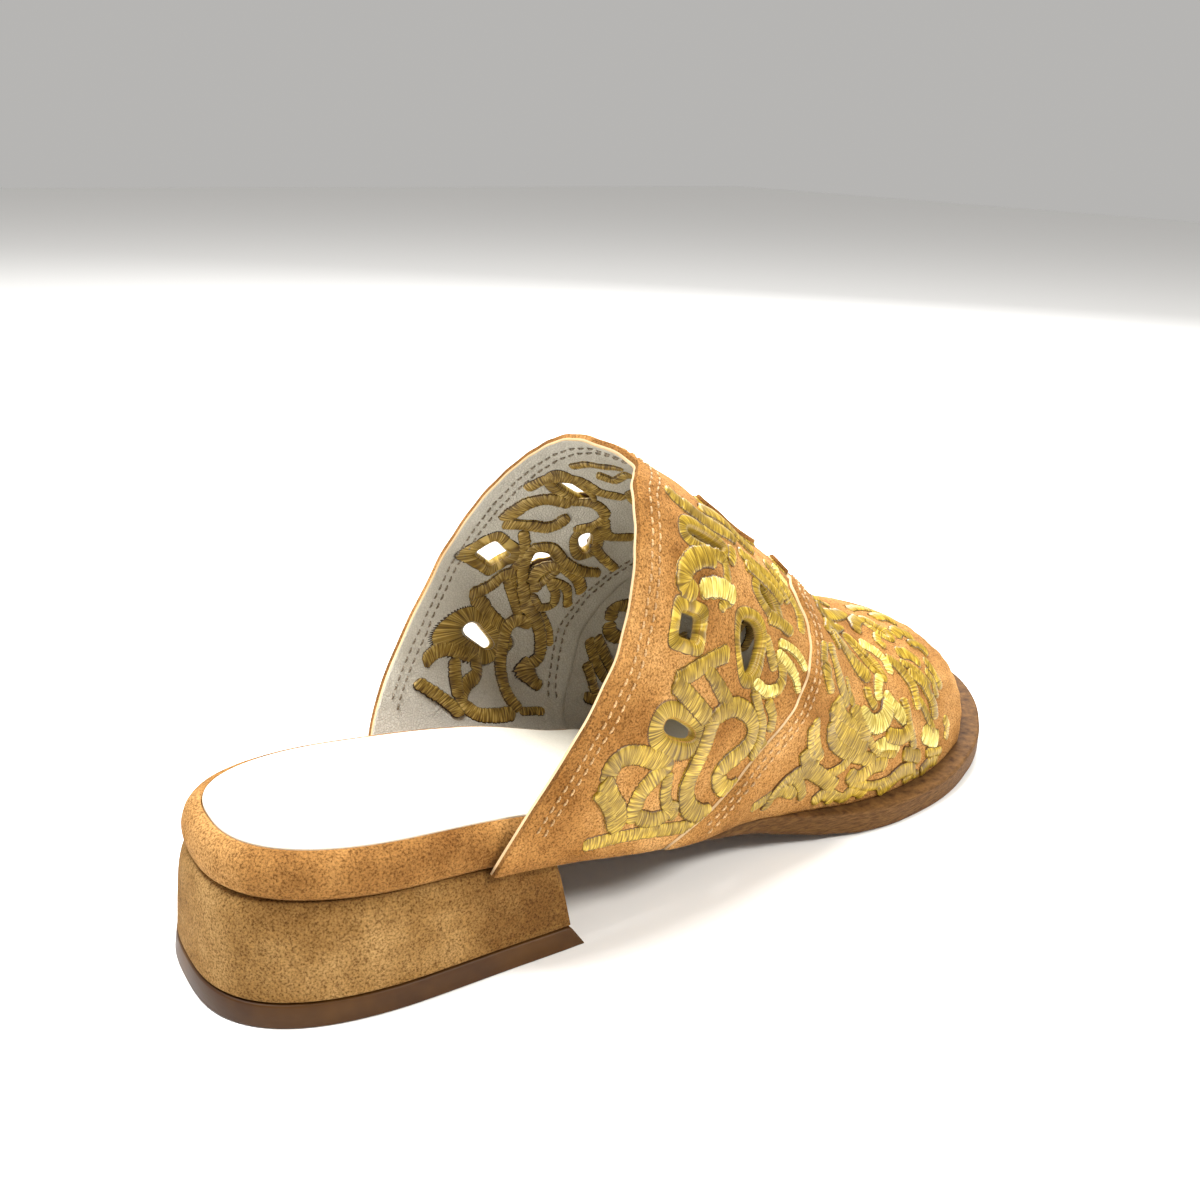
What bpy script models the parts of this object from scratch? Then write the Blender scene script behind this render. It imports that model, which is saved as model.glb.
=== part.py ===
"""Open-toe mule with a low block heel, for the right foot, as the pieces its maker puts together.

The toe points along +X, the outer (lateral) side faces -Y and the floor is z = 0.
A place on the shoe is given by its station (how far along the footbed), by its distance
across from the centre line, and by its height.
"""
import math

import bmesh
import bpy
from mathutils import Vector

# Driving sizes in metres
FOOTBED_LENGTH = 0.2510
BALL_WIDTH = 0.0740
HEEL_HEIGHT = 0.0273
SOLE_THICKNESS = 0.0062
TOE_SPRING = 0.0060
RIM_THICKNESS = 0.0100
INSTEP_HEIGHT = 0.0870
JOINT_GAP = 0.0003

# Rounding of the footbed's two ends: how far it reaches, and how square it is
HEEL_ROUND = 0.0445
HEEL_CURVE = 2.55
TOE_ROUND = 0.0700
TOE_CURVE = 2.05

# Heel
TOP_PIECE_THICKNESS = 0.0052
HEEL_FLARE = 0.0030
HEEL_BASE_CURVE = 2.8
BREAST_TOP = 0.0700
BREAST_BASE = 0.0730
BREAST_FLOOR = 0.0770

# Heel's side from the floor up: share of the way down, and share of the flare
HEEL_PROFILE = ((1.00, 0.75), (0.55, 0.55), (0.28, 0.38), (0.10, 0.12), (0.00, -0.30))

# Outsole
WAIST_THICKNESS = 0.0030
SOLE_LEDGE = 0.0048
SOLE_START = 0.0713
EDGE_ROUND = 0.0009

# Rolled rim from the underside up: inset and height, as shares of RIM_THICKNESS
RIM_PROFILE = ((0.16, 0.00), (0.04, 0.14), (0.00, 0.40), (0.06, 0.68), (0.20, 0.90), (0.36, 1.00))

# Sock lining, let into the top of the footbed
SOCK_INSET = 0.0046
SOCK_THICKNESS = 0.0011
SOCK_RECESS = 0.0010
SOCK_EDGE_ROUND = 0.0005
RECESS_DRAFT = 0.0001

# Upper
WALL = 0.0022
UPPER_GAP = 0.0006
LAP_STEP = 0.0010
LAP_WIDTH = 0.0090
SETTLE_LENGTH = 0.0140
TOE_TUCK = 0.0010
TOE_EDGE_CURVE = 0.8
BULGE_CURVE = 0.7

# Where the toe edge meets the feet and the ridge, as shares of FOOTBED_LENGTH
TOE_EDGE_FOOT = FOOTBED_LENGTH * 0.8565
TOE_EDGE_TOP = FOOTBED_LENGTH * 0.9004

# Share of the way round the upper over which the toe panel's inner face steps in
FOOT_FADE_SHARE = 0.12

# Shares of the sizes above, one row for each section from heel to toe
LAST_COLUMNS = ("along", "centre", "half", "rise", "spring", "rim", "ledge", "sole")
LAST = (
    (0.000, 0.045, 0.401, 1.000, 0.00, 1.00, -1.20, 0.00),
    (0.110, 0.000, 0.401, 0.923, 0.00, 1.00, -1.20, 0.00),
    (0.217, -0.039, 0.395, 0.846, 0.00, 0.97, -1.20, 0.00),
    (0.296, -0.058, 0.401, 0.735, 0.00, 0.90, -1.20, 0.00),
    (0.394, -0.081, 0.399, 0.514, 0.00, 0.76, -1.10, 0.06),
    (0.465, -0.064, 0.395, 0.351, 0.00, 0.66, -0.70, 0.30),
    (0.533, -0.026, 0.418, 0.197, 0.00, 0.57, -0.10, 0.65),
    (0.592, -0.001, 0.447, 0.091, 0.00, 0.52, 0.55, 0.90),
    (0.651, 0.013, 0.480, 0.019, 0.00, 0.50, 0.88, 1.00),
    (0.710, 0.016, 0.500, 0.000, 0.00, 0.48, 1.00, 1.00),
    (0.769, 0.024, 0.503, 0.000, 0.00, 0.46, 1.00, 1.00),
    (0.836, 0.049, 0.500, 0.000, 0.10, 0.44, 0.92, 1.00),
    (0.915, 0.100, 0.500, 0.000, 0.45, 0.42, 0.70, 1.00),
    (1.000, 0.165, 0.500, 0.000, 1.00, 0.40, 0.20, 1.00),
)

# Sections of the upper: height as a share of INSTEP_HEIGHT, the rest of BALL_WIDTH
UPPER_COLUMNS = ("along", "height", "ridge", "outer_bulge", "inner_bulge", "squareness")
UPPER = (
    (0.200, 1.260, 0.060, 0.055, 0.120, 2.50),
    (0.300, 1.140, 0.070, 0.055, 0.215, 2.60),
    (0.423, 0.990, 0.055, 0.040, 0.255, 2.65),
    (0.526, 0.850, 0.060, 0.060, 0.160, 2.40),
    (0.606, 0.730, 0.050, 0.040, 0.080, 2.25),
    (0.677, 0.580, 0.040, 0.020, 0.040, 2.15),
    (0.743, 0.475, 0.040, 0.010, 0.020, 2.10),
    (0.808, 0.420, 0.040, 0.000, 0.000, 2.10),
    (0.870, 0.336, 0.035, 0.000, 0.000, 2.10),
    (0.930, 0.178, 0.020, 0.000, 0.000, 2.10),
    (1.000, 0.030, 0.000, 0.000, 0.000, 2.10),
)

# Edges over the upper, from the outer foot (around 0) over the ridge to the inner foot (around 1)
EDGE_COLUMNS = ("around", "along")
COLLAR = (
    (0.000, 0.2140),
    (0.020, 0.2355),
    (0.045, 0.2610),
    (0.075, 0.2900),
    (0.105, 0.3140),
    (0.145, 0.3370),
    (0.200, 0.3560),
    (0.270, 0.3705),
    (0.350, 0.3850),
    (0.390, 0.3980),
    (0.420, 0.4080),
    (0.450, 0.4110),
    (0.500, 0.4045),
    (0.640, 0.3840),
    (0.716, 0.3680),
    (0.785, 0.3490),
    (0.848, 0.3295),
    (0.905, 0.3070),
    (0.946, 0.2790),
    (0.973, 0.2480),
    (1.000, 0.2140),
)

# Rear edge of the toe panel, which lies over the collar panel
SEAM = (
    (0.000, 0.385),
    (0.018, 0.430),
    (0.040, 0.458),
    (0.072, 0.486),
    (0.112, 0.521),
    (0.149, 0.551),
    (0.197, 0.576),
    (0.250, 0.592),
    (0.310, 0.597),
    (0.380, 0.625),
    (0.440, 0.645),
    (0.500, 0.650),
    (0.560, 0.628),
    (0.620, 0.598),
    (0.700, 0.566),
    (0.771, 0.542),
    (0.828, 0.526),
    (0.880, 0.513),
    (0.936, 0.503),
    (0.980, 0.483),
    (1.000, 0.470),
)

# Holes through the upper, each made on both sides: "along" and "up" for the outer side, then
# for the inner side, where "up" counts from that side's foot. Length and width are shares of
# BALL_WIDTH, and the turn is from backward to upward, in degrees.
HOLE_COLUMNS = (
    "along", "up", "inner_along", "inner_up", "length", "width", "turn", "squareness", "taper",
)
HOLES = (
    (0.449, 0.300, 0.446, 0.328, 0.203, 0.043, 0, 2.5, 0.0),
    (0.402, 0.173, 0.393, 0.162, 0.092, 0.084, 8, 6.0, 0.0),
    (0.474, 0.170, 0.462, 0.170, 0.176, 0.119, 92, 2.6, 0.35),
    (0.522, 0.250, 0.503, 0.258, 0.115, 0.052, 35, 2.5, 0.3),
    (0.387, 0.078, 0.392, 0.065, 0.151, 0.057, 18, 2.4, 0.2),
    (0.541, 0.424, 0.541, 0.424, 0.360, 0.042, 0, 2.6, 0.0),
    (0.628, 0.408, 0.610, 0.408, 0.110, 0.034, 0, 2.5, 0.0),
    (0.782, 0.359, 0.782, 0.359, 0.105, 0.032, 66, 2.5, 0.0),
    (0.714, 0.271, 0.714, 0.271, 0.189, 0.022, 47, 2.5, 0.0),
)
HOLE_POINTS = 16
HOLE_DEPTH = 0.0060

# Mesh steps
SOLE_STEPS = 38
HEEL_STEPS = 18
AROUND_STEPS = 32
FRONT_STEPS = 9
SETTLE_STEPS = 2
LAP_STEPS = 2
REAR_STEPS = 8
STEP_RUN = 0.0002

COLOURS = {
    "outsole": ((0.20, 0.10, 0.035), 0.55),
    "heel_block": ((0.48, 0.30, 0.15), 0.95),
    "top_piece": ((0.10, 0.035, 0.006), 0.45),
    "footbed": ((0.55, 0.33, 0.16), 0.95),
    "sock_lining": ((0.88, 0.85, 0.78), 0.60),
    "upper": ((0.62, 0.40, 0.20), 0.95),
}


def column(table, columns, name):
    """One named column of a table."""
    place = columns.index(name)
    return [row[place] for row in table]


def smooth(x, xs, ys):
    """Value at x on a smooth curve through the points, with no overshoot between them."""
    if x <= xs[0]:
        return ys[0]
    if x >= xs[-1]:
        return ys[-1]
    slopes = [(ys[i + 1] - ys[i]) / (xs[i + 1] - xs[i]) for i in range(len(xs) - 1)]
    tangents = [slopes[0]]
    for before, after in zip(slopes, slopes[1:]):
        level = before * after <= 0.0
        tangents.append(0.0 if level else 2.0 * before * after / (before + after))
    tangents.append(slopes[-1])
    i = max(k for k in range(len(xs) - 1) if xs[k] <= x)
    run = xs[i + 1] - xs[i]
    t = (x - xs[i]) / run
    start = (1 + 2 * t) * (1 - t) ** 2 * ys[i] + t * (1 - t) ** 2 * run * tangents[i]
    end = t * t * (3 - 2 * t) * ys[i + 1] + t * t * (t - 1) * run * tangents[i + 1]
    return start + end


def last(name, station):
    """A column of the last at a station."""
    xs = column(LAST, LAST_COLUMNS, "along")
    return smooth(station / FOOTBED_LENGTH, xs, column(LAST, LAST_COLUMNS, name))


def section(name, station):
    """A column of the upper's sections at a station."""
    xs = column(UPPER, UPPER_COLUMNS, "along")
    return smooth(station / FOOTBED_LENGTH, xs, column(UPPER, UPPER_COLUMNS, name))


def power(value, exponent):
    """Power that keeps the sign."""
    return math.copysign(abs(value) ** exponent, value)


def closing(distance, reach, squareness):
    """Width left at a distance from a rounded end, as a share of the full width."""
    t = min(max(distance / reach, 0.0), 1.0)
    return (1.0 - (1.0 - t) ** squareness) ** (1.0 / squareness)


def half_width(station, offset, heel_squareness=HEEL_CURVE):
    """Half the footbed's width at a station, grown all round by the offset."""
    heel = closing(station + offset, HEEL_ROUND + offset, heel_squareness)
    toe = closing(FOOTBED_LENGTH + offset - station, TOE_ROUND + offset, TOE_CURVE)
    return (BALL_WIDTH * last("half", station) + offset) * heel * toe


def place(station, across, height):
    """Point in space for a station, a distance across the centre line and a height.

    Beyond the footbed's ends the centre line runs straight on.
    """
    step = FOOTBED_LENGTH / 250
    held = min(max(station, step), FOOTBED_LENGTH - step)
    ahead = BALL_WIDTH * last("centre", held + step)
    behind = BALL_WIDTH * last("centre", held - step)
    angle = math.atan2(ahead - behind, 2 * step)
    middle = BALL_WIDTH * last("centre", held) + (station - held) * math.tan(angle)
    x = station - across * math.sin(angle)
    y = middle + across * math.cos(angle)
    return Vector((x, y, height))


def bed(station):
    """Height of the footbed's underside."""
    rise = (HEEL_HEIGHT - SOLE_THICKNESS) * last("rise", station)
    return SOLE_THICKNESS + JOINT_GAP + rise + TOE_SPRING * last("spring", station)


def rim(station):
    """Height of the footbed's rim above its underside."""
    return RIM_THICKNESS * last("rim", station)


def recess_floor(station):
    """Height of the floor of the recess that takes the sock lining."""
    return bed(station) + rim(station) - SOCK_RECESS


def spread(start, end, steps, dense_start, dense_end):
    """Stations from start to end, closer together at a rounded end."""
    if dense_start and dense_end:
        shares = [0.5 - 0.5 * math.cos(math.pi * i / steps) for i in range(steps + 1)]
    elif dense_start:
        shares = [1.0 - math.cos(0.5 * math.pi * i / steps) for i in range(steps + 1)]
    else:
        shares = [math.sin(0.5 * math.pi * i / steps) for i in range(steps + 1)]
    return [start + (end - start) * share for share in shares]


def ring(offset, height, start=None, end=None, steps=SOLE_STEPS, squareness=HEEL_CURVE):
    """Both sides of an outline, as two rows of points that meet at a rounded end."""
    reach = offset if callable(offset) else lambda station: offset
    first = -reach(0.0) if start is None else start
    final = FOOTBED_LENGTH + reach(FOOTBED_LENGTH) if end is None else end
    outer, inner = [], []
    for station in spread(first, final, steps, start is None, end is None):
        width = half_width(station, reach(station), squareness)
        outer.append(place(station, -width, height(station)))
        inner.append(place(station, width, height(station)))
    return outer, inner


def new_object(name, bm):
    """Object with its own material from a bmesh."""
    mesh = bpy.data.meshes.new(name)
    bm.normal_update()
    bm.to_mesh(mesh)
    bm.free()
    mesh.shade_smooth()
    mesh.set_sharp_from_angle(angle=math.radians(40))
    obj = bpy.data.objects.new(name, mesh)
    return obj


def add_face(bm, corners):
    """Face over the corners that differ from each other."""
    used = []
    for corner in corners:
        if corner not in used:
            used.append(corner)
    if len(used) > 2:
        bm.faces.new(used)


def stacked(name, rings, closed_start, closed_end):
    """Solid through a stack of rings, from the lowest to the highest."""
    bm = bmesh.new()
    layers = []
    for outer, inner in rings:
        left = [bm.verts.new(p) for p in outer]
        right = [bm.verts.new(p) for p in inner]
        if closed_start:
            bm.verts.remove(right[0])
            right[0] = left[0]
        if closed_end:
            bm.verts.remove(right[-1])
            right[-1] = left[-1]
        layers.append((left, right))
    for (left, right), (left_up, right_up) in zip(layers, layers[1:]):
        for i in range(len(left) - 1):
            add_face(bm, (left[i], left[i + 1], left_up[i + 1], left_up[i]))
            add_face(bm, (right[i + 1], right[i], right_up[i], right_up[i + 1]))
        if not closed_start:
            add_face(bm, (right[0], left[0], left_up[0], right_up[0]))
        if not closed_end:
            add_face(bm, (left[-1], right[-1], right_up[-1], left_up[-1]))
    low_left, low_right = layers[0]
    top_left, top_right = layers[-1]
    for i in range(len(low_left) - 1):
        add_face(bm, (low_left[i], low_right[i], low_right[i + 1], low_left[i + 1]))
        add_face(bm, (top_left[i], top_left[i + 1], top_right[i + 1], top_right[i]))
    return new_object(name, bm)


def make_outsole():
    """Sole from the heel's breast to the toe, flat on the floor under the ball."""
    def thickness(station):
        return WAIST_THICKNESS + (SOLE_THICKNESS - WAIST_THICKNESS) * last("sole", station)

    def top(station):
        return bed(station) - JOINT_GAP

    def grown(inset):
        return lambda station: WALL + UPPER_GAP + SOLE_LEDGE * last("ledge", station) - inset

    levels = ((EDGE_ROUND, 1.0), (0.0, 0.72), (0.0, 0.28), (EDGE_ROUND * 0.6, 0.0))
    rings = []
    for inset, depth in levels:
        height = lambda station, d=depth: top(station) - thickness(station) * d
        rings.append(ring(grown(inset), height, start=SOLE_START))
    return stacked("outsole", rings, False, True)


def heel_ring(share, offset, breast, height):
    """Outline of the heel at a share of the way down to the floor."""
    square = HEEL_CURVE + (HEEL_BASE_CURVE - HEEL_CURVE) * share
    return ring(offset, height, end=breast, steps=HEEL_STEPS, squareness=square)


def make_heel_block():
    """Covered heel, swelling below the groove under the rim and flaring to the floor."""
    base = TOP_PIECE_THICKNESS + JOINT_GAP
    rings = []
    for share, flare in HEEL_PROFILE:
        height = lambda station, k=share: base + (bed(station) - JOINT_GAP - base) * (1 - k)
        depth = share * (1.0 - TOP_PIECE_THICKNESS / HEEL_HEIGHT)
        breast = BREAST_TOP + (BREAST_BASE - BREAST_TOP) * share
        rings.append(heel_ring(depth, HEEL_FLARE * flare, breast, height))
    return stacked("heel_block", rings, True, False)


def make_top_piece():
    """Rubber lift under the heel."""
    levels = ((1.0, 1.00, BREAST_FLOOR, 0.0), (0.85, 0.80, BREAST_BASE, TOP_PIECE_THICKNESS))
    rings = []
    for share, flare, breast, level in levels:
        rings.append(heel_ring(share, HEEL_FLARE * flare, breast, lambda station, z=level: z))
    return stacked("top_piece", rings, True, False)


def make_footbed():
    """Wrapped footbed with a rolled rim and a shallow recess for the sock lining."""
    rings = []
    for inset, share in RIM_PROFILE:
        height = lambda station, k=share: bed(station) + k * rim(station)
        rings.append(ring(-inset * RIM_THICKNESS, height))
    recess = JOINT_GAP - SOCK_INSET
    rings.append(ring(recess, lambda station: bed(station) + rim(station)))
    rings.append(ring(recess - RECESS_DRAFT, recess_floor))
    return stacked("footbed", rings, True, True)


def make_sock_lining():
    """Thin leather lining that lies in the footbed's recess."""
    rings = []
    for share, inset in ((0.0, 0.0), (0.7, 0.0), (1.0, SOCK_EDGE_ROUND)):
        base = lambda station, k=share: recess_floor(station) + JOINT_GAP + SOCK_THICKNESS * k
        rings.append(ring(-SOCK_INSET - inset, base))
    return stacked("sock_lining", rings, True, True)


def lining_point(station, around):
    """Point on the collar panel's inner face; around runs 0 to 1 from outer to inner foot."""
    angle = math.pi * around
    ridge = BALL_WIDTH * section("ridge", station)
    foot = half_width(station, UPPER_GAP)
    height = INSTEP_HEIGHT * section("height", station)
    exponent = 2.0 / section("squareness", station)
    up = power(math.sin(angle), exponent)
    bulge_name = "outer_bulge" if around < 0.5 else "inner_bulge"
    bulge = BALL_WIDTH * section(bulge_name, station) * math.sin(math.pi * up ** BULGE_CURVE)
    side = -1.0 if around < 0.5 else 1.0
    reach = foot + bulge - side * ridge
    across = ridge + side * reach * abs(power(math.cos(angle), exponent))
    return place(station, across, bed(station) + height * up)


def lining_normal(station, around):
    """Outward direction of that face, level at the feet."""
    step = 0.0005
    low = max(around - step, 0.0)
    high = min(around + step, 1.0)
    run = step * FOOTBED_LENGTH
    along = lining_point(station + run, around) - lining_point(station - run, around)
    across = lining_point(station, high) - lining_point(station, low)
    normal = along.cross(across)
    if around in (0.0, 1.0):
        normal.z = 0.0
    if normal.length == 0.0:
        normal = Vector((0.0, 0.0, 1.0))
    return normal.normalized()


def edge_station(edge, around):
    """Station of an edge that runs over the upper."""
    xs = column(edge, EDGE_COLUMNS, "around")
    return FOOTBED_LENGTH * smooth(around, xs, column(edge, EDGE_COLUMNS, "along"))


def toe_station(around):
    """Station of the toe opening's edge."""
    return TOE_EDGE_FOOT + (TOE_EDGE_TOP - TOE_EDGE_FOOT) * math.sin(math.pi * around) ** TOE_EDGE_CURVE


def upper_rows(around):
    """Rows of (station, outer offset, inner offset) from the toe edge back to the collar.

    The toe panel lies over the collar panel along the lap, and settles inwards ahead of it.
    """
    toe, seam, collar = toe_station(around), edge_station(SEAM, around), edge_station(COLLAR, around)
    lap = seam + LAP_WIDTH
    settled = lap + SETTLE_LENGTH
    near = min(around, 1.0 - around)
    front_out = WALL - TOE_TUCK
    front_in = -TOE_TUCK * min(near / FOOT_FADE_SHARE, 1.0)
    raised_out, raised_in = WALL + LAP_STEP, LAP_STEP
    rows = []
    for i in range(FRONT_STEPS):
        rows.append((toe + (settled - toe) * i / FRONT_STEPS, front_out, front_in))
    for i in range(SETTLE_STEPS + 1):
        share = i / SETTLE_STEPS
        out = front_out + (raised_out - front_out) * share
        inward = front_in + (raised_in - front_in) * share
        rows.append((settled + (lap - settled) * share, out, inward))
    for i in range(LAP_STEPS + 1):
        station = lap - STEP_RUN + (seam - lap + STEP_RUN) * i / LAP_STEPS
        rows.append((station, raised_out, 0.0))
    for i in range(REAR_STEPS + 1):
        station = seam - STEP_RUN + (collar - seam + STEP_RUN) * i / REAR_STEPS
        rows.append((station, WALL, 0.0))
    return rows


def make_upper():
    """Pierced upper: one wall, stepped where the toe panel laps over the collar panel."""
    bm = bmesh.new()
    outside, inside = [], []
    for j in range(AROUND_STEPS + 1):
        around = j / AROUND_STEPS
        outer_line, inner_line = [], []
        for station, out, inward in upper_rows(around):
            point = lining_point(station, around)
            normal = lining_normal(station, around)
            outer_line.append(bm.verts.new(point + normal * out))
            inner_line.append(bm.verts.new(point + normal * inward))
        outside.append(outer_line)
        inside.append(inner_line)
    rows = len(outside[0])
    for j in range(AROUND_STEPS):
        for i in range(rows - 1):
            bm.faces.new((outside[j][i], outside[j + 1][i], outside[j + 1][i + 1], outside[j][i + 1]))
            bm.faces.new((inside[j][i], inside[j][i + 1], inside[j + 1][i + 1], inside[j + 1][i]))
        bm.faces.new((outside[j][0], inside[j][0], inside[j + 1][0], outside[j + 1][0]))
        bm.faces.new((outside[j][-1], outside[j + 1][-1], inside[j + 1][-1], inside[j][-1]))
    for i in range(rows - 1):
        bm.faces.new((outside[0][i], outside[0][i + 1], inside[0][i + 1], inside[0][i]))
        bm.faces.new((outside[-1][i], inside[-1][i], inside[-1][i + 1], outside[-1][i + 1]))
    bmesh.ops.recalc_face_normals(bm, faces=bm.faces)
    return new_object("upper", bm)


def hole_outline(length, width, squareness, taper):
    """Flat outline of a hole, as points along and around the upper."""
    points = []
    for i in range(HOLE_POINTS):
        angle = 2 * math.pi * i / HOLE_POINTS
        along = power(math.cos(angle), 2 / squareness)
        around = power(math.sin(angle), 2 / squareness)
        points.append((0.5 * length * along, 0.5 * width * around * (1 + taper * along)))
    return points


def add_hole(bm, row, side):
    """Cutter for one hole on one side of the upper."""
    values = dict(zip(HOLE_COLUMNS, row))
    if side < 0:
        station, around = FOOTBED_LENGTH * values["along"], values["up"]
    else:
        station, around = FOOTBED_LENGTH * values["inner_along"], 1.0 - values["inner_up"]
    centre = lining_point(station, around)
    normal = lining_normal(station, around)
    backward = lining_point(station - 0.004 * FOOTBED_LENGTH, around) - centre
    first = (backward - normal * backward.dot(normal)).normalized()
    second = normal.cross(first) * side
    turn = math.radians(values["turn"])
    length = BALL_WIDTH * values["length"]
    width = BALL_WIDTH * values["width"]
    outline = hole_outline(length, width, values["squareness"], values["taper"])
    inner, outer = [], []
    for along, up in outline:
        u = along * math.cos(turn) - up * math.sin(turn)
        v = along * math.sin(turn) + up * math.cos(turn)
        point = centre + first * u + second * v
        inner.append(bm.verts.new(point - normal * HOLE_DEPTH))
        outer.append(bm.verts.new(point + normal * HOLE_DEPTH))
    bm.faces.new(inner)
    bm.faces.new(outer)
    for i in range(HOLE_POINTS):
        k = (i + 1) % HOLE_POINTS
        bm.faces.new((inner[i], inner[k], outer[k], outer[i]))


def make_hole_cutters():
    """All the holes' cutters in one object."""
    bm = bmesh.new()
    for row in HOLES:
        for side in (-1, 1):
            add_hole(bm, row, side)
    bmesh.ops.recalc_face_normals(bm, faces=bm.faces)
    return new_object("hole_cutters", bm)


def set_material(obj):
    """Plain material with the piece's colour and roughness."""
    colour, roughness = COLOURS[obj.name]
    material = bpy.data.materials.new(obj.name)
    material.use_nodes = True
    shader = material.node_tree.nodes["Principled BSDF"]
    shader.inputs["Base Color"].default_value = (*colour, 1.0)
    shader.inputs["Roughness"].default_value = roughness
    shader.inputs["Metallic"].default_value = 0.0
    obj.data.materials.append(material)


def collection(name):
    """New collection in the scene."""
    made = bpy.data.collections.new(name)
    bpy.context.scene.collection.children.link(made)
    return made


def stand_at_origin(objects):
    """Moves the shoe so that the origin is on the floor under the middle of its box."""
    points = [vertex.co for obj in objects for vertex in obj.data.vertices]
    middle_x = 0.5 * (min(p.x for p in points) + max(p.x for p in points))
    middle_y = 0.5 * (min(p.y for p in points) + max(p.y for p in points))
    return Vector((-middle_x, -middle_y, 0.0))


def main():
    for obj in list(bpy.data.objects):
        bpy.data.objects.remove(obj, do_unlink=True)
    pieces = [
        make_outsole(),
        make_heel_block(),
        make_top_piece(),
        make_footbed(),
        make_sock_lining(),
        make_upper(),
    ]
    cutters = make_hole_cutters()
    shoe = collection("open_toe_mule")
    for piece in pieces:
        set_material(piece)
        shoe.objects.link(piece)
    collection("cutters").objects.link(cutters)
    cutters.hide_render = True
    cutters.display_type = "WIRE"
    move = stand_at_origin(pieces)
    for obj in pieces + [cutters]:
        obj.location = move
    cut = pieces[-1].modifiers.new("holes", "BOOLEAN")
    cut.operation = "DIFFERENCE"
    cut.solver = "EXACT"
    cut.object = cutters


main()
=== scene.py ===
"""Looks of the open-toe mule: suede, leather and satin-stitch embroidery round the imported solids."""
import math

import bmesh
import bpy
import numpy as np
from mathutils import Matrix, Vector


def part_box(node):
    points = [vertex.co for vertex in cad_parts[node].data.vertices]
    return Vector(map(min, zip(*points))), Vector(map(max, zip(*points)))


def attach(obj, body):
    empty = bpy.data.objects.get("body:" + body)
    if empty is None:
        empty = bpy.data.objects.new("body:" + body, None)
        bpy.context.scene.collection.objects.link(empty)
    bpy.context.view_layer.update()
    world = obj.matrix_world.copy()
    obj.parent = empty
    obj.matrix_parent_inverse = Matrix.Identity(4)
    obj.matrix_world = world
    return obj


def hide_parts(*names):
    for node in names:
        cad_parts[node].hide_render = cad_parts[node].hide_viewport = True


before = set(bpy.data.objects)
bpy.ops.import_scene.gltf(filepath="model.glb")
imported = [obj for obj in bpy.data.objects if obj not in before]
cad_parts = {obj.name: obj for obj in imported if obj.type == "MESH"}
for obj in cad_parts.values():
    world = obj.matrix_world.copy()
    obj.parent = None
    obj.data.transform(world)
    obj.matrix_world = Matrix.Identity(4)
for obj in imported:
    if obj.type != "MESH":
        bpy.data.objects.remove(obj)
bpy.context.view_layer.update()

# Driving sizes of the shoe in metres, as in the construction
FOOTBED_LENGTH = 0.2510
BALL_WIDTH = 0.0740
HEEL_HEIGHT = 0.0273
SOLE_THICKNESS = 0.0062
TOE_SPRING = 0.0060
RIM_THICKNESS = 0.0100
INSTEP_HEIGHT = 0.0870
JOINT_GAP = 0.0003
HEEL_ROUND = 0.0445
HEEL_CURVE = 2.55
TOE_ROUND = 0.0700
TOE_CURVE = 2.05
TOP_PIECE_THICKNESS = 0.0052
HEEL_FLARE = 0.0030
HEEL_BASE_CURVE = 2.8
BREAST_TOP = 0.0700
BREAST_BASE = 0.0730
BREAST_FLOOR = 0.0770
WAIST_THICKNESS = 0.0030
SOLE_LEDGE = 0.0048
SOLE_START = 0.0713
SOCK_INSET = 0.0046
SOCK_THICKNESS = 0.0011
SOCK_RECESS = 0.0010
WALL = 0.0022
UPPER_GAP = 0.0006
LAP_STEP = 0.0010
LAP_WIDTH = 0.0090
LAP_SEAT = 0.0010
STRIP_PAD = 0.0005
SETTLE_LENGTH = 0.0140
TOE_TUCK = 0.0010
TOE_EDGE_FOOT = FOOTBED_LENGTH * 0.8565
TOE_EDGE_TOP = FOOTBED_LENGTH * 0.9004
TOE_EDGE_CURVE = 0.8
BULGE_CURVE = 0.7
FOOT_FADE_SHARE = 0.12
SOLE_CORNER = 0.0009
LIFT_CORNER = 0.0005
LIFT_DEPTH = 0.15
LIFT_TAPER = 0.20
HEEL_TUCK = 0.0004
HEEL_TUCK_SHARE = 0.03
RECESS_DRAFT = 0.0001
PALE_TOE_SHARE = 0.78
PANEL_CLEARANCE = 0.00015
LAP_HELD_BACK = 0.0003
SEAM_STEP = 0.0001
PANEL_ARC = 0.235
PANEL_REACH = 0.070
EDGE_ROLL = 0.0003
EDGE_ROLL_WIDTH = 0.0006
CUT_INSIDE = 0.004
CUT_OUTSIDE = 0.006
WAVE_HEIGHT = 0.00018
RELIEF_FADE = 0.03

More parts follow.
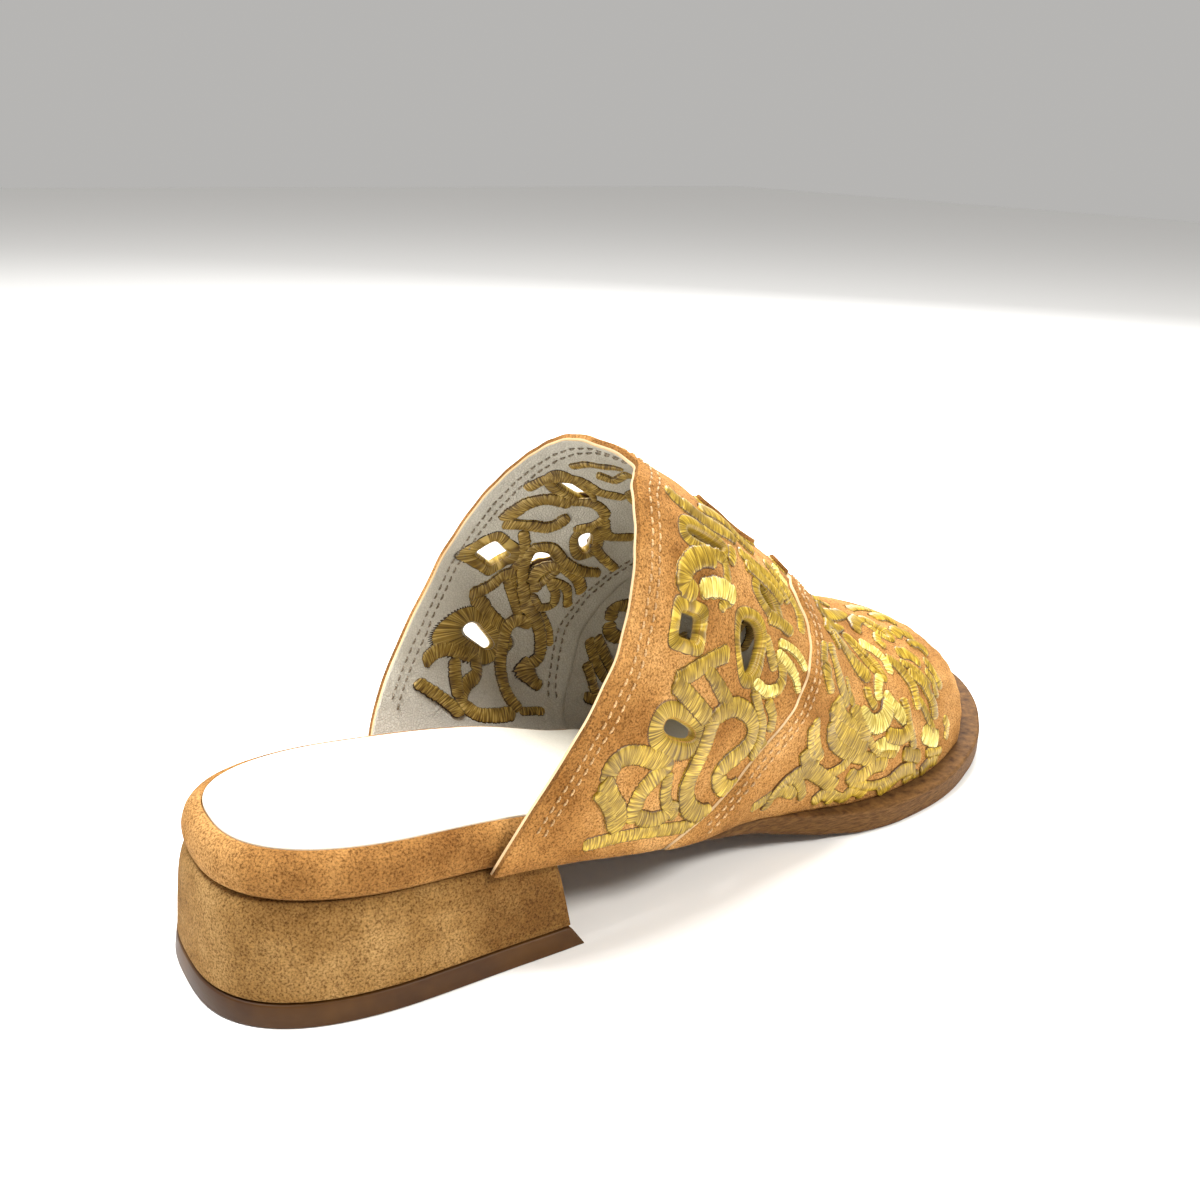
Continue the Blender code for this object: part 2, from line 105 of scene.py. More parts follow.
# Shares of the sizes above, one row for each section from heel to toe
LAST_COLUMNS = ("along", "centre", "half", "rise", "spring", "rim", "ledge", "sole")
LAST = (
    (0.000, 0.045, 0.401, 1.000, 0.00, 1.00, -1.20, 0.00),
    (0.110, 0.000, 0.401, 0.923, 0.00, 1.00, -1.20, 0.00),
    (0.217, -0.039, 0.395, 0.846, 0.00, 0.97, -1.20, 0.00),
    (0.296, -0.058, 0.401, 0.735, 0.00, 0.90, -1.20, 0.00),
    (0.394, -0.081, 0.399, 0.514, 0.00, 0.76, -1.10, 0.06),
    (0.465, -0.064, 0.395, 0.351, 0.00, 0.66, -0.70, 0.30),
    (0.533, -0.026, 0.418, 0.197, 0.00, 0.57, -0.10, 0.65),
    (0.592, -0.001, 0.447, 0.091, 0.00, 0.52, 0.55, 0.90),
    (0.651, 0.013, 0.480, 0.019, 0.00, 0.50, 0.88, 1.00),
    (0.710, 0.016, 0.500, 0.000, 0.00, 0.48, 1.00, 1.00),
    (0.769, 0.024, 0.503, 0.000, 0.00, 0.46, 1.00, 1.00),
    (0.836, 0.049, 0.500, 0.000, 0.10, 0.44, 0.92, 1.00),
    (0.915, 0.100, 0.500, 0.000, 0.45, 0.42, 0.70, 1.00),
    (1.000, 0.165, 0.500, 0.000, 1.00, 0.40, 0.20, 1.00),
)

# Sections of the upper: height as a share of INSTEP_HEIGHT, the rest of BALL_WIDTH
UPPER_COLUMNS = ("along", "height", "ridge", "outer_bulge", "inner_bulge", "squareness")
UPPER = (
    (0.200, 1.260, 0.060, 0.055, 0.120, 2.50),
    (0.300, 1.140, 0.070, 0.055, 0.215, 2.60),
    (0.423, 0.990, 0.055, 0.040, 0.255, 2.65),
    (0.526, 0.850, 0.060, 0.060, 0.160, 2.40),
    (0.606, 0.730, 0.050, 0.040, 0.080, 2.25),
    (0.677, 0.580, 0.040, 0.020, 0.040, 2.15),
    (0.743, 0.475, 0.040, 0.010, 0.020, 2.10),
    (0.808, 0.420, 0.040, 0.000, 0.000, 2.10),
    (0.870, 0.336, 0.035, 0.000, 0.000, 2.10),
    (0.930, 0.178, 0.020, 0.000, 0.000, 2.10),
    (1.000, 0.030, 0.000, 0.000, 0.000, 2.10),
)

# Edges over the upper: around runs from the outer foot over the ridge to the inner foot, and
# along is a share of FOOTBED_LENGTH
EDGE_COLUMNS = ("around", "along")

# Rear edge of the collar
COLLAR = (
    (0.000, 0.2140),
    (0.020, 0.2355),
    (0.045, 0.2610),
    (0.075, 0.2900),
    (0.105, 0.3140),
    (0.145, 0.3370),
    (0.200, 0.3560),
    (0.270, 0.3705),
    (0.350, 0.3850),
    (0.390, 0.3980),
    (0.420, 0.4080),
    (0.450, 0.4110),
    (0.500, 0.4045),
    (0.640, 0.3840),
    (0.716, 0.3680),
    (0.785, 0.3490),
    (0.848, 0.3295),
    (0.905, 0.3070),
    (0.946, 0.2790),
    (0.973, 0.2480),
    (1.000, 0.2140),
)

# Rear edge of the toe panel, which lies over the collar panel
SEAM = (
    (0.000, 0.385),
    (0.018, 0.430),
    (0.040, 0.458),
    (0.072, 0.486),
    (0.112, 0.521),
    (0.149, 0.551),
    (0.197, 0.576),
    (0.250, 0.592),
    (0.310, 0.597),
    (0.380, 0.625),
    (0.440, 0.645),
    (0.500, 0.650),
    (0.560, 0.628),
    (0.620, 0.598),
    (0.700, 0.566),
    (0.771, 0.542),
    (0.828, 0.526),
    (0.880, 0.513),
    (0.936, 0.503),
    (0.980, 0.483),
    (1.000, 0.470),
)

# Holes through the upper. "along" and "up" are for the outer side, then for the inner side, where
# "up" counts from that side's foot. Length and width are shares of BALL_WIDTH, turns are degrees
# from backward to upward, the border of wrapped threads is in metres, and it is wider by the share
# "lean" towards the direction "lean_turn".
HOLE_COLUMNS = (
    "along", "up", "inner_along", "inner_up", "length", "width", "turn", "squareness", "taper",
    "border", "lean", "lean_turn",
)
HOLES = (
    (0.449, 0.300, 0.446, 0.328, 0.203, 0.043, 0, 2.5, 0.0, 0.0025, 0.30, 0),
    (0.402, 0.173, 0.393, 0.162, 0.092, 0.084, 8, 6.0, 0.0, 0.0030, 0.10, 60),
    (0.474, 0.170, 0.462, 0.170, 0.176, 0.119, 92, 2.6, 0.35, 0.0028, 0.10, 0),
    (0.522, 0.250, 0.503, 0.258, 0.115, 0.052, 35, 2.5, 0.3, 0.0030, 0.10, 90),
    (0.387, 0.078, 0.392, 0.065, 0.151, 0.057, 18, 2.4, 0.2, 0.0042, 0.22, 0),
    (0.541, 0.424, 0.541, 0.424, 0.360, 0.042, 0, 2.6, 0.0, 0.0019, 0.00, 0),
    (0.628, 0.408, 0.610, 0.408, 0.110, 0.034, 0, 2.5, 0.0, 0.0019, 0.00, 0),
    (0.782, 0.359, 0.782, 0.359, 0.105, 0.032, 66, 2.5, 0.0, 0.0024, 0.00, 0),
    (0.714, 0.271, 0.714, 0.271, 0.189, 0.022, 47, 2.5, 0.0, 0.0022, 0.00, 0),
)
COLLAR_HOLES = HOLES[:7]
TOE_HOLES = HOLES[7:]

# Worked bands: each a width in tenths of a millimetre, then its points (along, up) in thousandths,
# where up counts from the side's foot. The toe panel's inner side repeats bands of its outer side.
WIDTHS_PER_METRE = 10000
POINTS_PER_SHARE = 1000
COLLAR_OUTER_BANDS = (
    (26, (471, 126), (482, 121), (496, 126), (510, 143), (514, 161), (507, 172)),
    (22, (508, 173), (524, 165), (536, 152), (537, 135)),
    (18, (515, 188), (536, 191), (551, 182), (557, 168)),
    (28, (562, 345), (572, 325), (580, 300), (583, 270), (579, 245), (572, 225)),
    (32, (443, 153), (419, 140), (400, 129), (382, 119)),
    (34, (381, 120), (394, 107), (404, 96), (412, 87)),
    (27, (420, 130), (426, 115), (434, 102)),
    (35, (410, 74), (422, 89), (435, 97), (452, 100), (465, 94), (469, 81), (465, 67), (453, 57),
     (437, 48), (429, 41), (432, 33), (445, 29), (456, 32)),
    (22, (472, 120), (475, 102), (477, 85), (475, 69), (468, 54)),
    (24, (486, 113), (490, 97), (486, 80)),
    (28, (508, 219), (532, 222), (550, 216)),
    (36, (418, 86), (411, 67), (402, 50), (396, 36), (398, 23), (409, 16), (424, 14)),
    (36, (315, 41), (321, 52), (331, 59), (344, 61), (361, 58), (375, 51), (363, 42), (353, 34),
     (348, 25), (348, 16)),
    (30, (350, 20), (366, 17), (379, 19), (388, 26)),
    (35, (311, 44), (321, 33), (329, 25), (333, 13)),
    (26, (296, 7), (314, 8), (332, 9), (362, 10), (396, 9), (414, 8)),
    (40, (452, 272), (432, 264), (416, 251), (406, 234), (403, 219), (413, 210)),
    (36, (418, 217), (438, 226), (451, 229), (467, 226)),
    (26, (418, 368), (426, 354), (440, 348)),
    (30, (432, 350), (456, 344), (481, 340), (508, 342)),
    (24, (485, 310), (481, 295), (474, 276)),
    (26, (453, 282), (467, 275), (464, 253), (458, 236)),
    (26, (500, 312), (520, 310), (540, 307), (555, 298), (564, 284), (566, 268)),
    (26, (500, 292), (520, 284), (541, 276), (552, 262)),
    (22, (440, 199), (450, 212), (461, 218)),
    (24, (590, 362), (584, 340), (590, 318)),
    (28, (470, 372), (492, 380), (514, 376), (532, 362), (548, 352)),
    (24, (500, 148), (498, 168), (496, 190)),
    (24, (378, 46), (377, 29), (388, 16)),
    (24, (305, 37), (318, 28), (328, 14)),
    (22, (474, 78), (482, 60), (476, 40)),
    (26, (414, 134), (430, 114), (442, 96)),
    (22, (472, 130), (484, 122), (498, 128)),
)
COLLAR_INNER_BANDS = (
    (30, (471, 141), (464, 159), (472, 181), (490, 198), (508, 200), (522, 190), (530, 174)),
    (24, (468, 137), (488, 130), (502, 141), (501, 160), (490, 172), (507, 176), (521, 147)),
    (28, (453, 146), (445, 172), (448, 200), (464, 214), (494, 211), (520, 211), (538, 218)),
    (26, (456, 303), (478, 332), (500, 326), (496, 296), (478, 264)),
    (36, (389, 211), (405, 249), (429, 284), (456, 301)),
    (32, (389, 206), (426, 227), (453, 246), (462, 277)),
    (28, (396, 274), (416, 320), (444, 355), (471, 363), (488, 384), (500, 400)),
    (22, (424, 372), (434, 410), (446, 445), (456, 478)),
    (22, (451, 400), (468, 421), (466, 480)),
    (30, (502, 318), (520, 292), (549, 318)),
    (24, (512, 266), (532, 246), (552, 238)),
    (32, (366, 102), (384, 110), (403, 122), (424, 144), (440, 156)),
    (36, (369, 102), (390, 99), (412, 92), (443, 81)),
    (24, (432, 142), (446, 124), (458, 104)),
    (32, (452, 145), (466, 122), (488, 110), (498, 89), (493, 66), (474, 52)),
    (22, (492, 124), (508, 104), (510, 86)),
    (34, (440, 13), (430, 23), (430, 39), (438, 62), (447, 85), (461, 98), (481, 99)),
    (30, (479, 62), (470, 50), (476, 40), (492, 37)),
    (36, (302, 40), (318, 48), (343, 50), (374, 45), (372, 34), (348, 25), (338, 17), (350, 11),
     (386, 10), (432, 12)),
    (34, (339, 43), (336, 28), (335, 18)),
    (32, (290, 29), (308, 21), (323, 14), (330, 9)),
    (22, (440, 13), (462, 14), (483, 16)),
    (26, (424, 215), (436, 196), (440, 174), (436, 158)),
)
TOE_OUTER_BANDS = (
    (22, (722, 234), (710, 205), (703, 176)),
    (27, (716, 192), (725, 160), (738, 133)),
    (32, (669, 156), (674, 137), (690, 131), (706, 145), (717, 176)),
    (24, (722, 312), (738, 296), (746, 266), (743, 236)),
    (32, (668, 308), (674, 275), (685, 246), (700, 218)),
    (18, (646, 282), (653, 250)),
    (26, (778, 284), (795, 270), (804, 241)),
    (24, (751, 276), (763, 250), (767, 215), (766, 178), (763, 147)),
    (24, (774, 232), (787, 195), (794, 151), (791, 109)),
    (34, (766, 98), (778, 78), (794, 56)),
    (44, (608, 146), (614, 126), (628, 110), (649, 97), (666, 81)),
    (32, (651, 152), (662, 128), (666, 100)),
    (26, (560, 110), (563, 86), (580, 61)),
    (24, (597, 112), (604, 87), (631, 76), (661, 73), (682, 66)),
    (28, (522, 36), (545, 46), (566, 47), (589, 40), (612, 28)),
    (24, (478, 12), (500, 20), (522, 26), (549, 22)),
    (26, (634, 48), (652, 40), (664, 44), (678, 56), (700, 60)),
    (26, (690, 10), (708, 22), (723, 33), (748, 30)),
    (24, (632, 10), (652, 22), (672, 11)),
    (24, (582, 10), (600, 20), (616, 10)),
    (26, (702, 112), (728, 104), (745, 118)),
    (26, (682, 82), (700, 94), (722, 86)),
    (30, (660, 360), (690, 372), (725, 395), (752, 420)),
    (26, (735, 345), (745, 372), (770, 398)),
    (28, (800, 330), (822, 345), (838, 318)),
    (28, (800, 395), (822, 400), (838, 380)),
    (26, (645, 330), (668, 336), (692, 338)),
    (22, (818, 250), (826, 210), (824, 165)),
    (22, (760, 10), (775, 22), (792, 16)),
    (22, (540, 70), (552, 56), (572, 52)),
    (26, (624, 238), (622, 205), (628, 172), (644, 152)),
    (24, (602, 196), (596, 172), (598, 150)),
    (24, (726, 70), (742, 60), (756, 48)),
    (22, (812, 100), (818, 72), (812, 44)),
    (18, (550, 100), (556, 70), (572, 50), (595, 45), (622, 58), (634, 70)),
    (18, (498, 8), (505, 27), (527, 40), (546, 34), (560, 17)),
    (18, (592, 44), (606, 22), (640, 9)),
    (18, (640, 36), (679, 24), (711, 26)),
    (18, (742, 180), (741, 126), (746, 70)),
    (16, (672, 112), (684, 84), (716, 74)),
    (16, (768, 176), (778, 130), (785, 86)),
    (20, (600, 134), (633, 125), (668, 122)),
    (20, (611, 232), (596, 190), (602, 155)),
    (16, (772, 262), (789, 225), (800, 186)),
    (18, (705, 345), (680, 318), (652, 300), (628, 262)),
    (18, (655, 205), (652, 178), (658, 158)),
    (18, (690, 200), (688, 180), (694, 160)),
    (18, (812, 300), (828, 290), (838, 262)),
    (18, (808, 225), (812, 190), (808, 150)),
    (18, (770, 340), (760, 318), (764, 300)),
    (20, (690, 430), (715, 440), (745, 452)),
    (20, (780, 440), (805, 446), (830, 430)),
    (16, (730, 10), (742, 18), (756, 10)),
    (16, (768, 50), (782, 40), (798, 30)),
)
TOE_INNER_BANDS = (
    (24, (558, 104), (567, 76), (580, 49)),
    (24, (566, 110), (580, 80), (596, 46)),
    (22, (548, 30), (560, 27), (562, 47), (557, 70)),
    (30, (577, 140), (577, 162), (590, 176), (605, 164), (606, 138), (594, 117), (580, 122), (576, 138)),
    *(TOE_OUTER_BANDS[k] for k in (2, 1, 3, 4, 6, 7, 8, 9)),
    (44, (628, 140), (634, 118), (650, 100), (668, 81)),
    (28, (600, 80), (620, 60), (645, 52), (670, 48), (700, 58)),
    (26, (560, 10), (580, 22), (602, 10)),
    (26, (632, 10), (652, 22), (672, 11)),
    *(TOE_OUTER_BANDS[k] for k in (17, 20, 22, 23, 24)),
    (26, (640, 230), (634, 205), (642, 178), (658, 164)),
)

# Needlework
THREAD_PITCH = 0.00052
BAND_HEIGHT = 0.00052
BAND_LAYER = 0.00020
BAND_LAYERS = 3
THREAD_GROOVE = 0.00016
BAND_SEAT = 0.0004

# Chart rows whose outer-face thread is painted pale as painted highlights, on either side, and the factors
# on the charts' widths, for the outer and the inner side
PAINTED_HIGHLIGHT_BANDS = {"collar_needlework": (1, 2, 17, 25, 32), "toe_needlework": (0, 1, 2, 3, 9, 21)}
BAND_SPREAD = {"collar_needlework": (1.38, 1.22), "toe_needlework": (1.72, 1.50)}

BAND_POINTS = 9
EDGE_SHARE = 0.40
STITCH_PITCH = 0.0026
STITCH_LENGTH = 0.0019
STITCH_RADIUS = 0.00028
LIP_RADIUS = 0.0006
LIP_HEIGHT = 0.0009
LIP_RISE = 0.0005
COLLAR_STITCH_ROWS = (0.0034, 0.0057)
SEAM_STITCH_ROWS = (0.0022, 0.0045)
BAND_FOOT = 0.10
BAND_TIP = 0.35
BAND_TIP_CURVE = 0.6
BAND_JAG = 0.05
BAND_SLANT = 0.18
BEND_LIMIT = 0.85
PATH_LIMITS = (0.004, 0.996)
FOOT_LIMITS = (0.002, 0.998)

# Across a border of wrapped threads, from its outer edge to the hole's
BORDER_GROWTHS = (1.0, 0.86, 0.68, 0.46, 0.24, 0.08)
BORDER_HEIGHTS = (0.10, 0.55, 0.90, 1.00, 0.90, 0.60)
BORDER_OVERHANG = 0.00035
BORDER_SINK = 0.0005
BORDER_WOBBLE = 0.06
BORDER_JAG = 0.4

# Along a stitch: share of its length, then its rise and its thickness in radii
STITCH_PROFILE = (
    (0.0, -0.7, 0.45), (0.12, 0.25, 0.85), (0.35, 0.75, 1.0),
    (0.65, 0.75, 1.0), (0.88, 0.25, 0.85), (1.0, -0.7, 0.45),
)
STITCH_SIDES = 6

GRID = 0.00085
SOLE_STEPS = 150
HOLE_STEPS = 48
THREAD_STEP = THREAD_PITCH * 1.0

# Camera of the photograph, in the construction's frame before it was moved to the origin
CAMERA_EYE = Vector((-0.08814, -0.23480, 0.17541))
CAMERA_RIGHT = Vector((0.7777, -0.6278, 0.0318))
CAMERA_UP = Vector((0.1897, 0.2827, 0.9403))
CAMERA_BACK = Vector((-0.5993, -0.7252, 0.3389))
PHOTO_SIDE = 1200.0
FOCAL_PIXELS = 1318.9
SENSOR = 36.0

# Studio: each light has a name, place, target, size in metres, power in watts and colour
FLOOR_REACH = 3.0
WORLD_COLOUR = (1.0, 0.985, 0.96, 1.0)
WORLD_STRENGTH = 0.47
LIGHTS = (
    ("key", (0.25, -0.75, 0.85), (0, 0, 0.03), 0.35, 10.0, (1.0, 0.97, 0.92)),
    ("top", (-0.25, 0.25, 1.1), (0, 0, 0.03), 0.6, 24.0, (1.0, 1.0, 1.0)),
    ("back", (0.7, 0.5, 0.6), (0.05, 0, 0.05), 0.5, 10.0, (1.0, 1.0, 1.0)),
)


def column(table, columns, name):
    """One named column of a table."""
    place_in_row = columns.index(name)
    return np.array([row[place_in_row] for row in table], float)


def smooth(x, xs, ys):
    """Values at x on a smooth curve through the points, with no overshoot between them."""
    x = np.clip(np.asarray(x, float), xs[0], xs[-1])
    slopes = np.diff(ys) / np.diff(xs)
    before, after = slopes[:-1], slopes[1:]
    same = before * after > 0.0
    total = np.where(same, before + after, 1.0)
    inner = np.where(same, 2.0 * before * after / total, 0.0)
    tangents = np.concatenate(([slopes[0]], inner, [slopes[-1]]))
    i = np.clip(np.searchsorted(xs, x, side="right") - 1, 0, len(xs) - 2)
    run = xs[i + 1] - xs[i]
    t = (x - xs[i]) / run
    start = (1 + 2 * t) * (1 - t) ** 2 * ys[i] + t * (1 - t) ** 2 * run * tangents[i]
    end = t * t * (3 - 2 * t) * ys[i + 1] + t * t * (t - 1) * run * tangents[i + 1]
    return start + end


def last(name, station):
    """A column of the last at some stations."""
    xs = column(LAST, LAST_COLUMNS, "along")
    return smooth(np.asarray(station) / FOOTBED_LENGTH, xs, column(LAST, LAST_COLUMNS, name))


def section(name, station):
    """A column of the upper's sections at some stations."""
    xs = column(UPPER, UPPER_COLUMNS, "along")
    return smooth(np.asarray(station) / FOOTBED_LENGTH, xs, column(UPPER, UPPER_COLUMNS, name))


def closing(distance, reach, squareness):
    """Width left at a distance from a rounded end, as a share of the full width."""
    t = np.clip(distance / reach, 0.0, 1.0)
    return (1.0 - (1.0 - t) ** squareness) ** (1.0 / squareness)


def half_width(station, offset, heel_squareness=HEEL_CURVE):
    """Half the footbed's width, grown all round by the offset."""
    heel = closing(station + offset, HEEL_ROUND + offset, heel_squareness)
    toe = closing(FOOTBED_LENGTH + offset - station, TOE_ROUND + offset, TOE_CURVE)
    return (BALL_WIDTH * last("half", station) + offset) * heel * toe


def place(station, across, height):
    """Points in space for stations, distances across the centre line and heights.

    Beyond the footbed's ends the centre line runs straight on.
    """
    step = FOOTBED_LENGTH / 250
    held = np.clip(station, step, FOOTBED_LENGTH - step)
    ahead = BALL_WIDTH * last("centre", held + step)
    behind = BALL_WIDTH * last("centre", held - step)
    angle = np.arctan2(ahead - behind, 2 * step)
    middle = BALL_WIDTH * last("centre", held) + (station - held) * np.tan(angle)
    x = station - across * np.sin(angle)
    y = middle + across * np.cos(angle)
    return np.stack(np.broadcast_arrays(x, y, height), -1)


def bed(station):
    """Height of the footbed's underside."""
    rise = (HEEL_HEIGHT - SOLE_THICKNESS) * last("rise", station)
    return SOLE_THICKNESS + JOINT_GAP + rise + TOE_SPRING * last("spring", station)


def rim(station):
    """Height of the footbed's rim above its underside."""
    return RIM_THICKNESS * last("rim", station)


def lining(station, around):
    """Points on the collar panel's inner face; around runs 0 to 1 from outer to inner foot."""
    station, around = np.broadcast_arrays(np.asarray(station, float), np.asarray(around, float))
    angle = math.pi * np.clip(around, 0.0, 1.0)
    ridge = BALL_WIDTH * section("ridge", station)
    foot = half_width(station, UPPER_GAP)
    height = INSTEP_HEIGHT * section("height", station)
    exponent = 2.0 / section("squareness", station)
    up = np.clip(np.sin(angle), 0.0, 1.0) ** exponent
    outer = around < 0.5
    bulge = np.where(outer, section("outer_bulge", station), section("inner_bulge", station))
    bulge = BALL_WIDTH * bulge * np.sin(math.pi * up ** BULGE_CURVE)
    side = np.where(outer, -1.0, 1.0)
    across = ridge + side * (foot + bulge - side * ridge) * np.abs(np.cos(angle)) ** exponent
    return place(station, across, bed(station) + height * up)


def unit(vectors):
    """Vectors of length one."""
    return vectors / np.maximum(np.linalg.norm(vectors, axis=-1, keepdims=True), 1e-12)


def lining_normal(station, around):
    """Outward directions of that face, level at the feet."""
    step = 0.0005
    run = step * FOOTBED_LENGTH
    along = lining(station + run, around) - lining(station - run, around)
    high = np.minimum(around + step, 1.0)
    low = np.maximum(around - step, 0.0)
    normal = np.cross(along, lining(station, high) - lining(station, low))
    near = np.minimum(around, 1.0 - around)
    normal[..., 2] *= np.clip(near / 0.002, 0.0, 1.0)
    return unit(normal)


def edge_station(edge, around):
    """Stations of an edge that runs over the upper."""
    arounds = column(edge, EDGE_COLUMNS, "around")
    return FOOTBED_LENGTH * smooth(around, arounds, column(edge, EDGE_COLUMNS, "along"))


def collar_station(around):
    """Stations of the collar's rear edge."""
    return edge_station(COLLAR, around)


def seam_station(around):
    """Stations of the toe panel's rear edge."""
    return edge_station(SEAM, around)


def lap_station(around):
    """Stations of the collar panel's front edge, under the toe panel."""
    return seam_station(around) + LAP_WIDTH


def toe_station(around):
    """Stations of the toe opening's edge."""
    rise = np.clip(np.sin(math.pi * around), 0.0, 1.0) ** TOE_EDGE_CURVE
    return TOE_EDGE_FOOT + (TOE_EDGE_TOP - TOE_EDGE_FOOT) * rise


def bump(x, centre, width):
    """Soft hump of height one."""
    return np.exp(-((x - centre) / width) ** 2)


# Soft creases: along, around, length along, width around, turn, depth in metres
CREASES = (
    (0.470, 0.470, 0.030, 0.060, 0.6, 0.0007),
    (0.440, 0.090, 0.060, 0.012, -0.3, 0.0005),
    (0.350, 0.120, 0.040, 0.030, 0.4, 0.0006),
    (0.520, 0.110, 0.040, 0.020, 0.2, 0.0005),
    (0.660, 0.200, 0.030, 0.050, 0.3, -0.0005),
    (0.690, 0.420, 0.018, 0.120, 0.0, -0.0012),
    (0.760, 0.180, 0.030, 0.060, -0.4, 0.0006),
    (0.600, 0.060, 0.040, 0.020, 0.3, 0.0005),
)


def relief(station, around):
    """Soft troughs and ridges of the worn suede."""
    along = station / FOOTBED_LENGTH
    near = np.minimum(around, 1.0 - around)
    height = np.zeros(np.broadcast(along, near).shape)
    for centre, level, length, width, turn, depth in CREASES:
        u = along - centre
        v = near - level
        height = height + depth * bump(u + turn * v, 0.0, length) * bump(v, 0.0, width)
    waves = np.sin(along * 61.0 + near * 37.0) * np.sin(near * 83.0 - along * 23.0)
    fade = np.clip(near / RELIEF_FADE, 0.0, 1.0)
    return (height + WAVE_HEIGHT * waves) * fade


def offset_surface(station, around, offset):
    """Points at an offset from the lining's face."""
    return lining(station, around) + lining_normal(station, around) * np.asarray(offset)[..., None]


def collar_outer(station, around, lift=0.0):
    """Outer face of the collar panel, or points lifted off it; it is skived under the lap."""
    thickness = np.where(station > seam_station(around), LAP_SEAT, WALL)
    return offset_surface(station, around, thickness + relief(station, around) + lift)


def collar_inner(station, around, lift=0.0):
    """Inner face of the collar panel, padded in two rolls along the strip behind its front edge."""
    strip = np.clip((station - seam_station(around)) / LAP_WIDTH, 0.0, 1.0)
    pad = STRIP_PAD * np.abs(np.sin(2.0 * math.pi * strip))
    return offset_surface(station, around, relief(station, around) - pad - lift)


def settling(station, around):
    """Share of the way from the lap down to the toe panel's own level."""
    return np.clip((station - lap_station(around)) / SETTLE_LENGTH, 0.0, 1.0)


def toe_outer(station, around, lift=0.0):
    """Outer face of the toe panel, raised where it lies over the collar panel."""
    level = WALL + LAP_STEP - (LAP_STEP + TOE_TUCK) * settling(station, around)
    return offset_surface(station, around, level + relief(station, around) + lift)


def toe_inner(station, around, lift=0.0):
    """Inner face of the toe panel."""
    near = np.minimum(around, 1.0 - around)
    front = -TOE_TUCK * np.minimum(near / FOOT_FADE_SHARE, 1.0)
    start = LAP_SEAT + PANEL_CLEARANCE
    level = start + (front - start) * settling(station, around)
    return offset_surface(station, around, level + relief(station, around) - lift)


def move_to_frame():
    """Move from the construction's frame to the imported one, from the footbed's own box."""
    stations = np.linspace(0.0, FOOTBED_LENGTH, 4001)
    width = half_width(stations, 0.0)
    outline = np.concatenate([place(stations, -width, 0.0), place(stations, width, 0.0)])
    low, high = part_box("footbed")
    middle = 0.5 * (outline.min(0) + outline.max(0))
    return np.array([0.5 * (low.x + high.x) - middle[0], 0.5 * (low.y + high.y) - middle[1], 0.0])


MOVE = move_to_frame()


def piece(name, points, faces, nodes=(), slot=None, uvs=None, slots=None):
    """Mesh object from points in the construction's frame; it rides on the root body."""
    mesh = bpy.data.meshes.new(name)
    mesh.from_pydata((np.asarray(points) + MOVE).tolist(), [], faces)
    if uvs is not None:
        layer = mesh.uv_layers.new(name="UVMap")
        loop_points = np.zeros(len(mesh.loops), int)
        mesh.loops.foreach_get("vertex_index", loop_points)
        layer.data.foreach_set("uv", np.asarray(uvs, float)[loop_points].ravel())
    if slots is not None:
        mesh.polygons.foreach_set("material_index", np.asarray(slots, int))
    mesh.shade_smooth()
    mesh.validate()
    mesh.update()
    obj = bpy.data.objects.new(name, mesh)
    SHOE.objects.link(obj)
    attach(obj, "root")
    if nodes:
        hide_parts(*nodes)
    return obj


def new_collection(name):
    """New collection in the scene."""
    made = bpy.data.collections.new(name)
    bpy.context.scene.collection.children.link(made)
    return made


SHOE = new_collection("open_toe_mule")
CUTTERS = new_collection("cutters")


# Materials

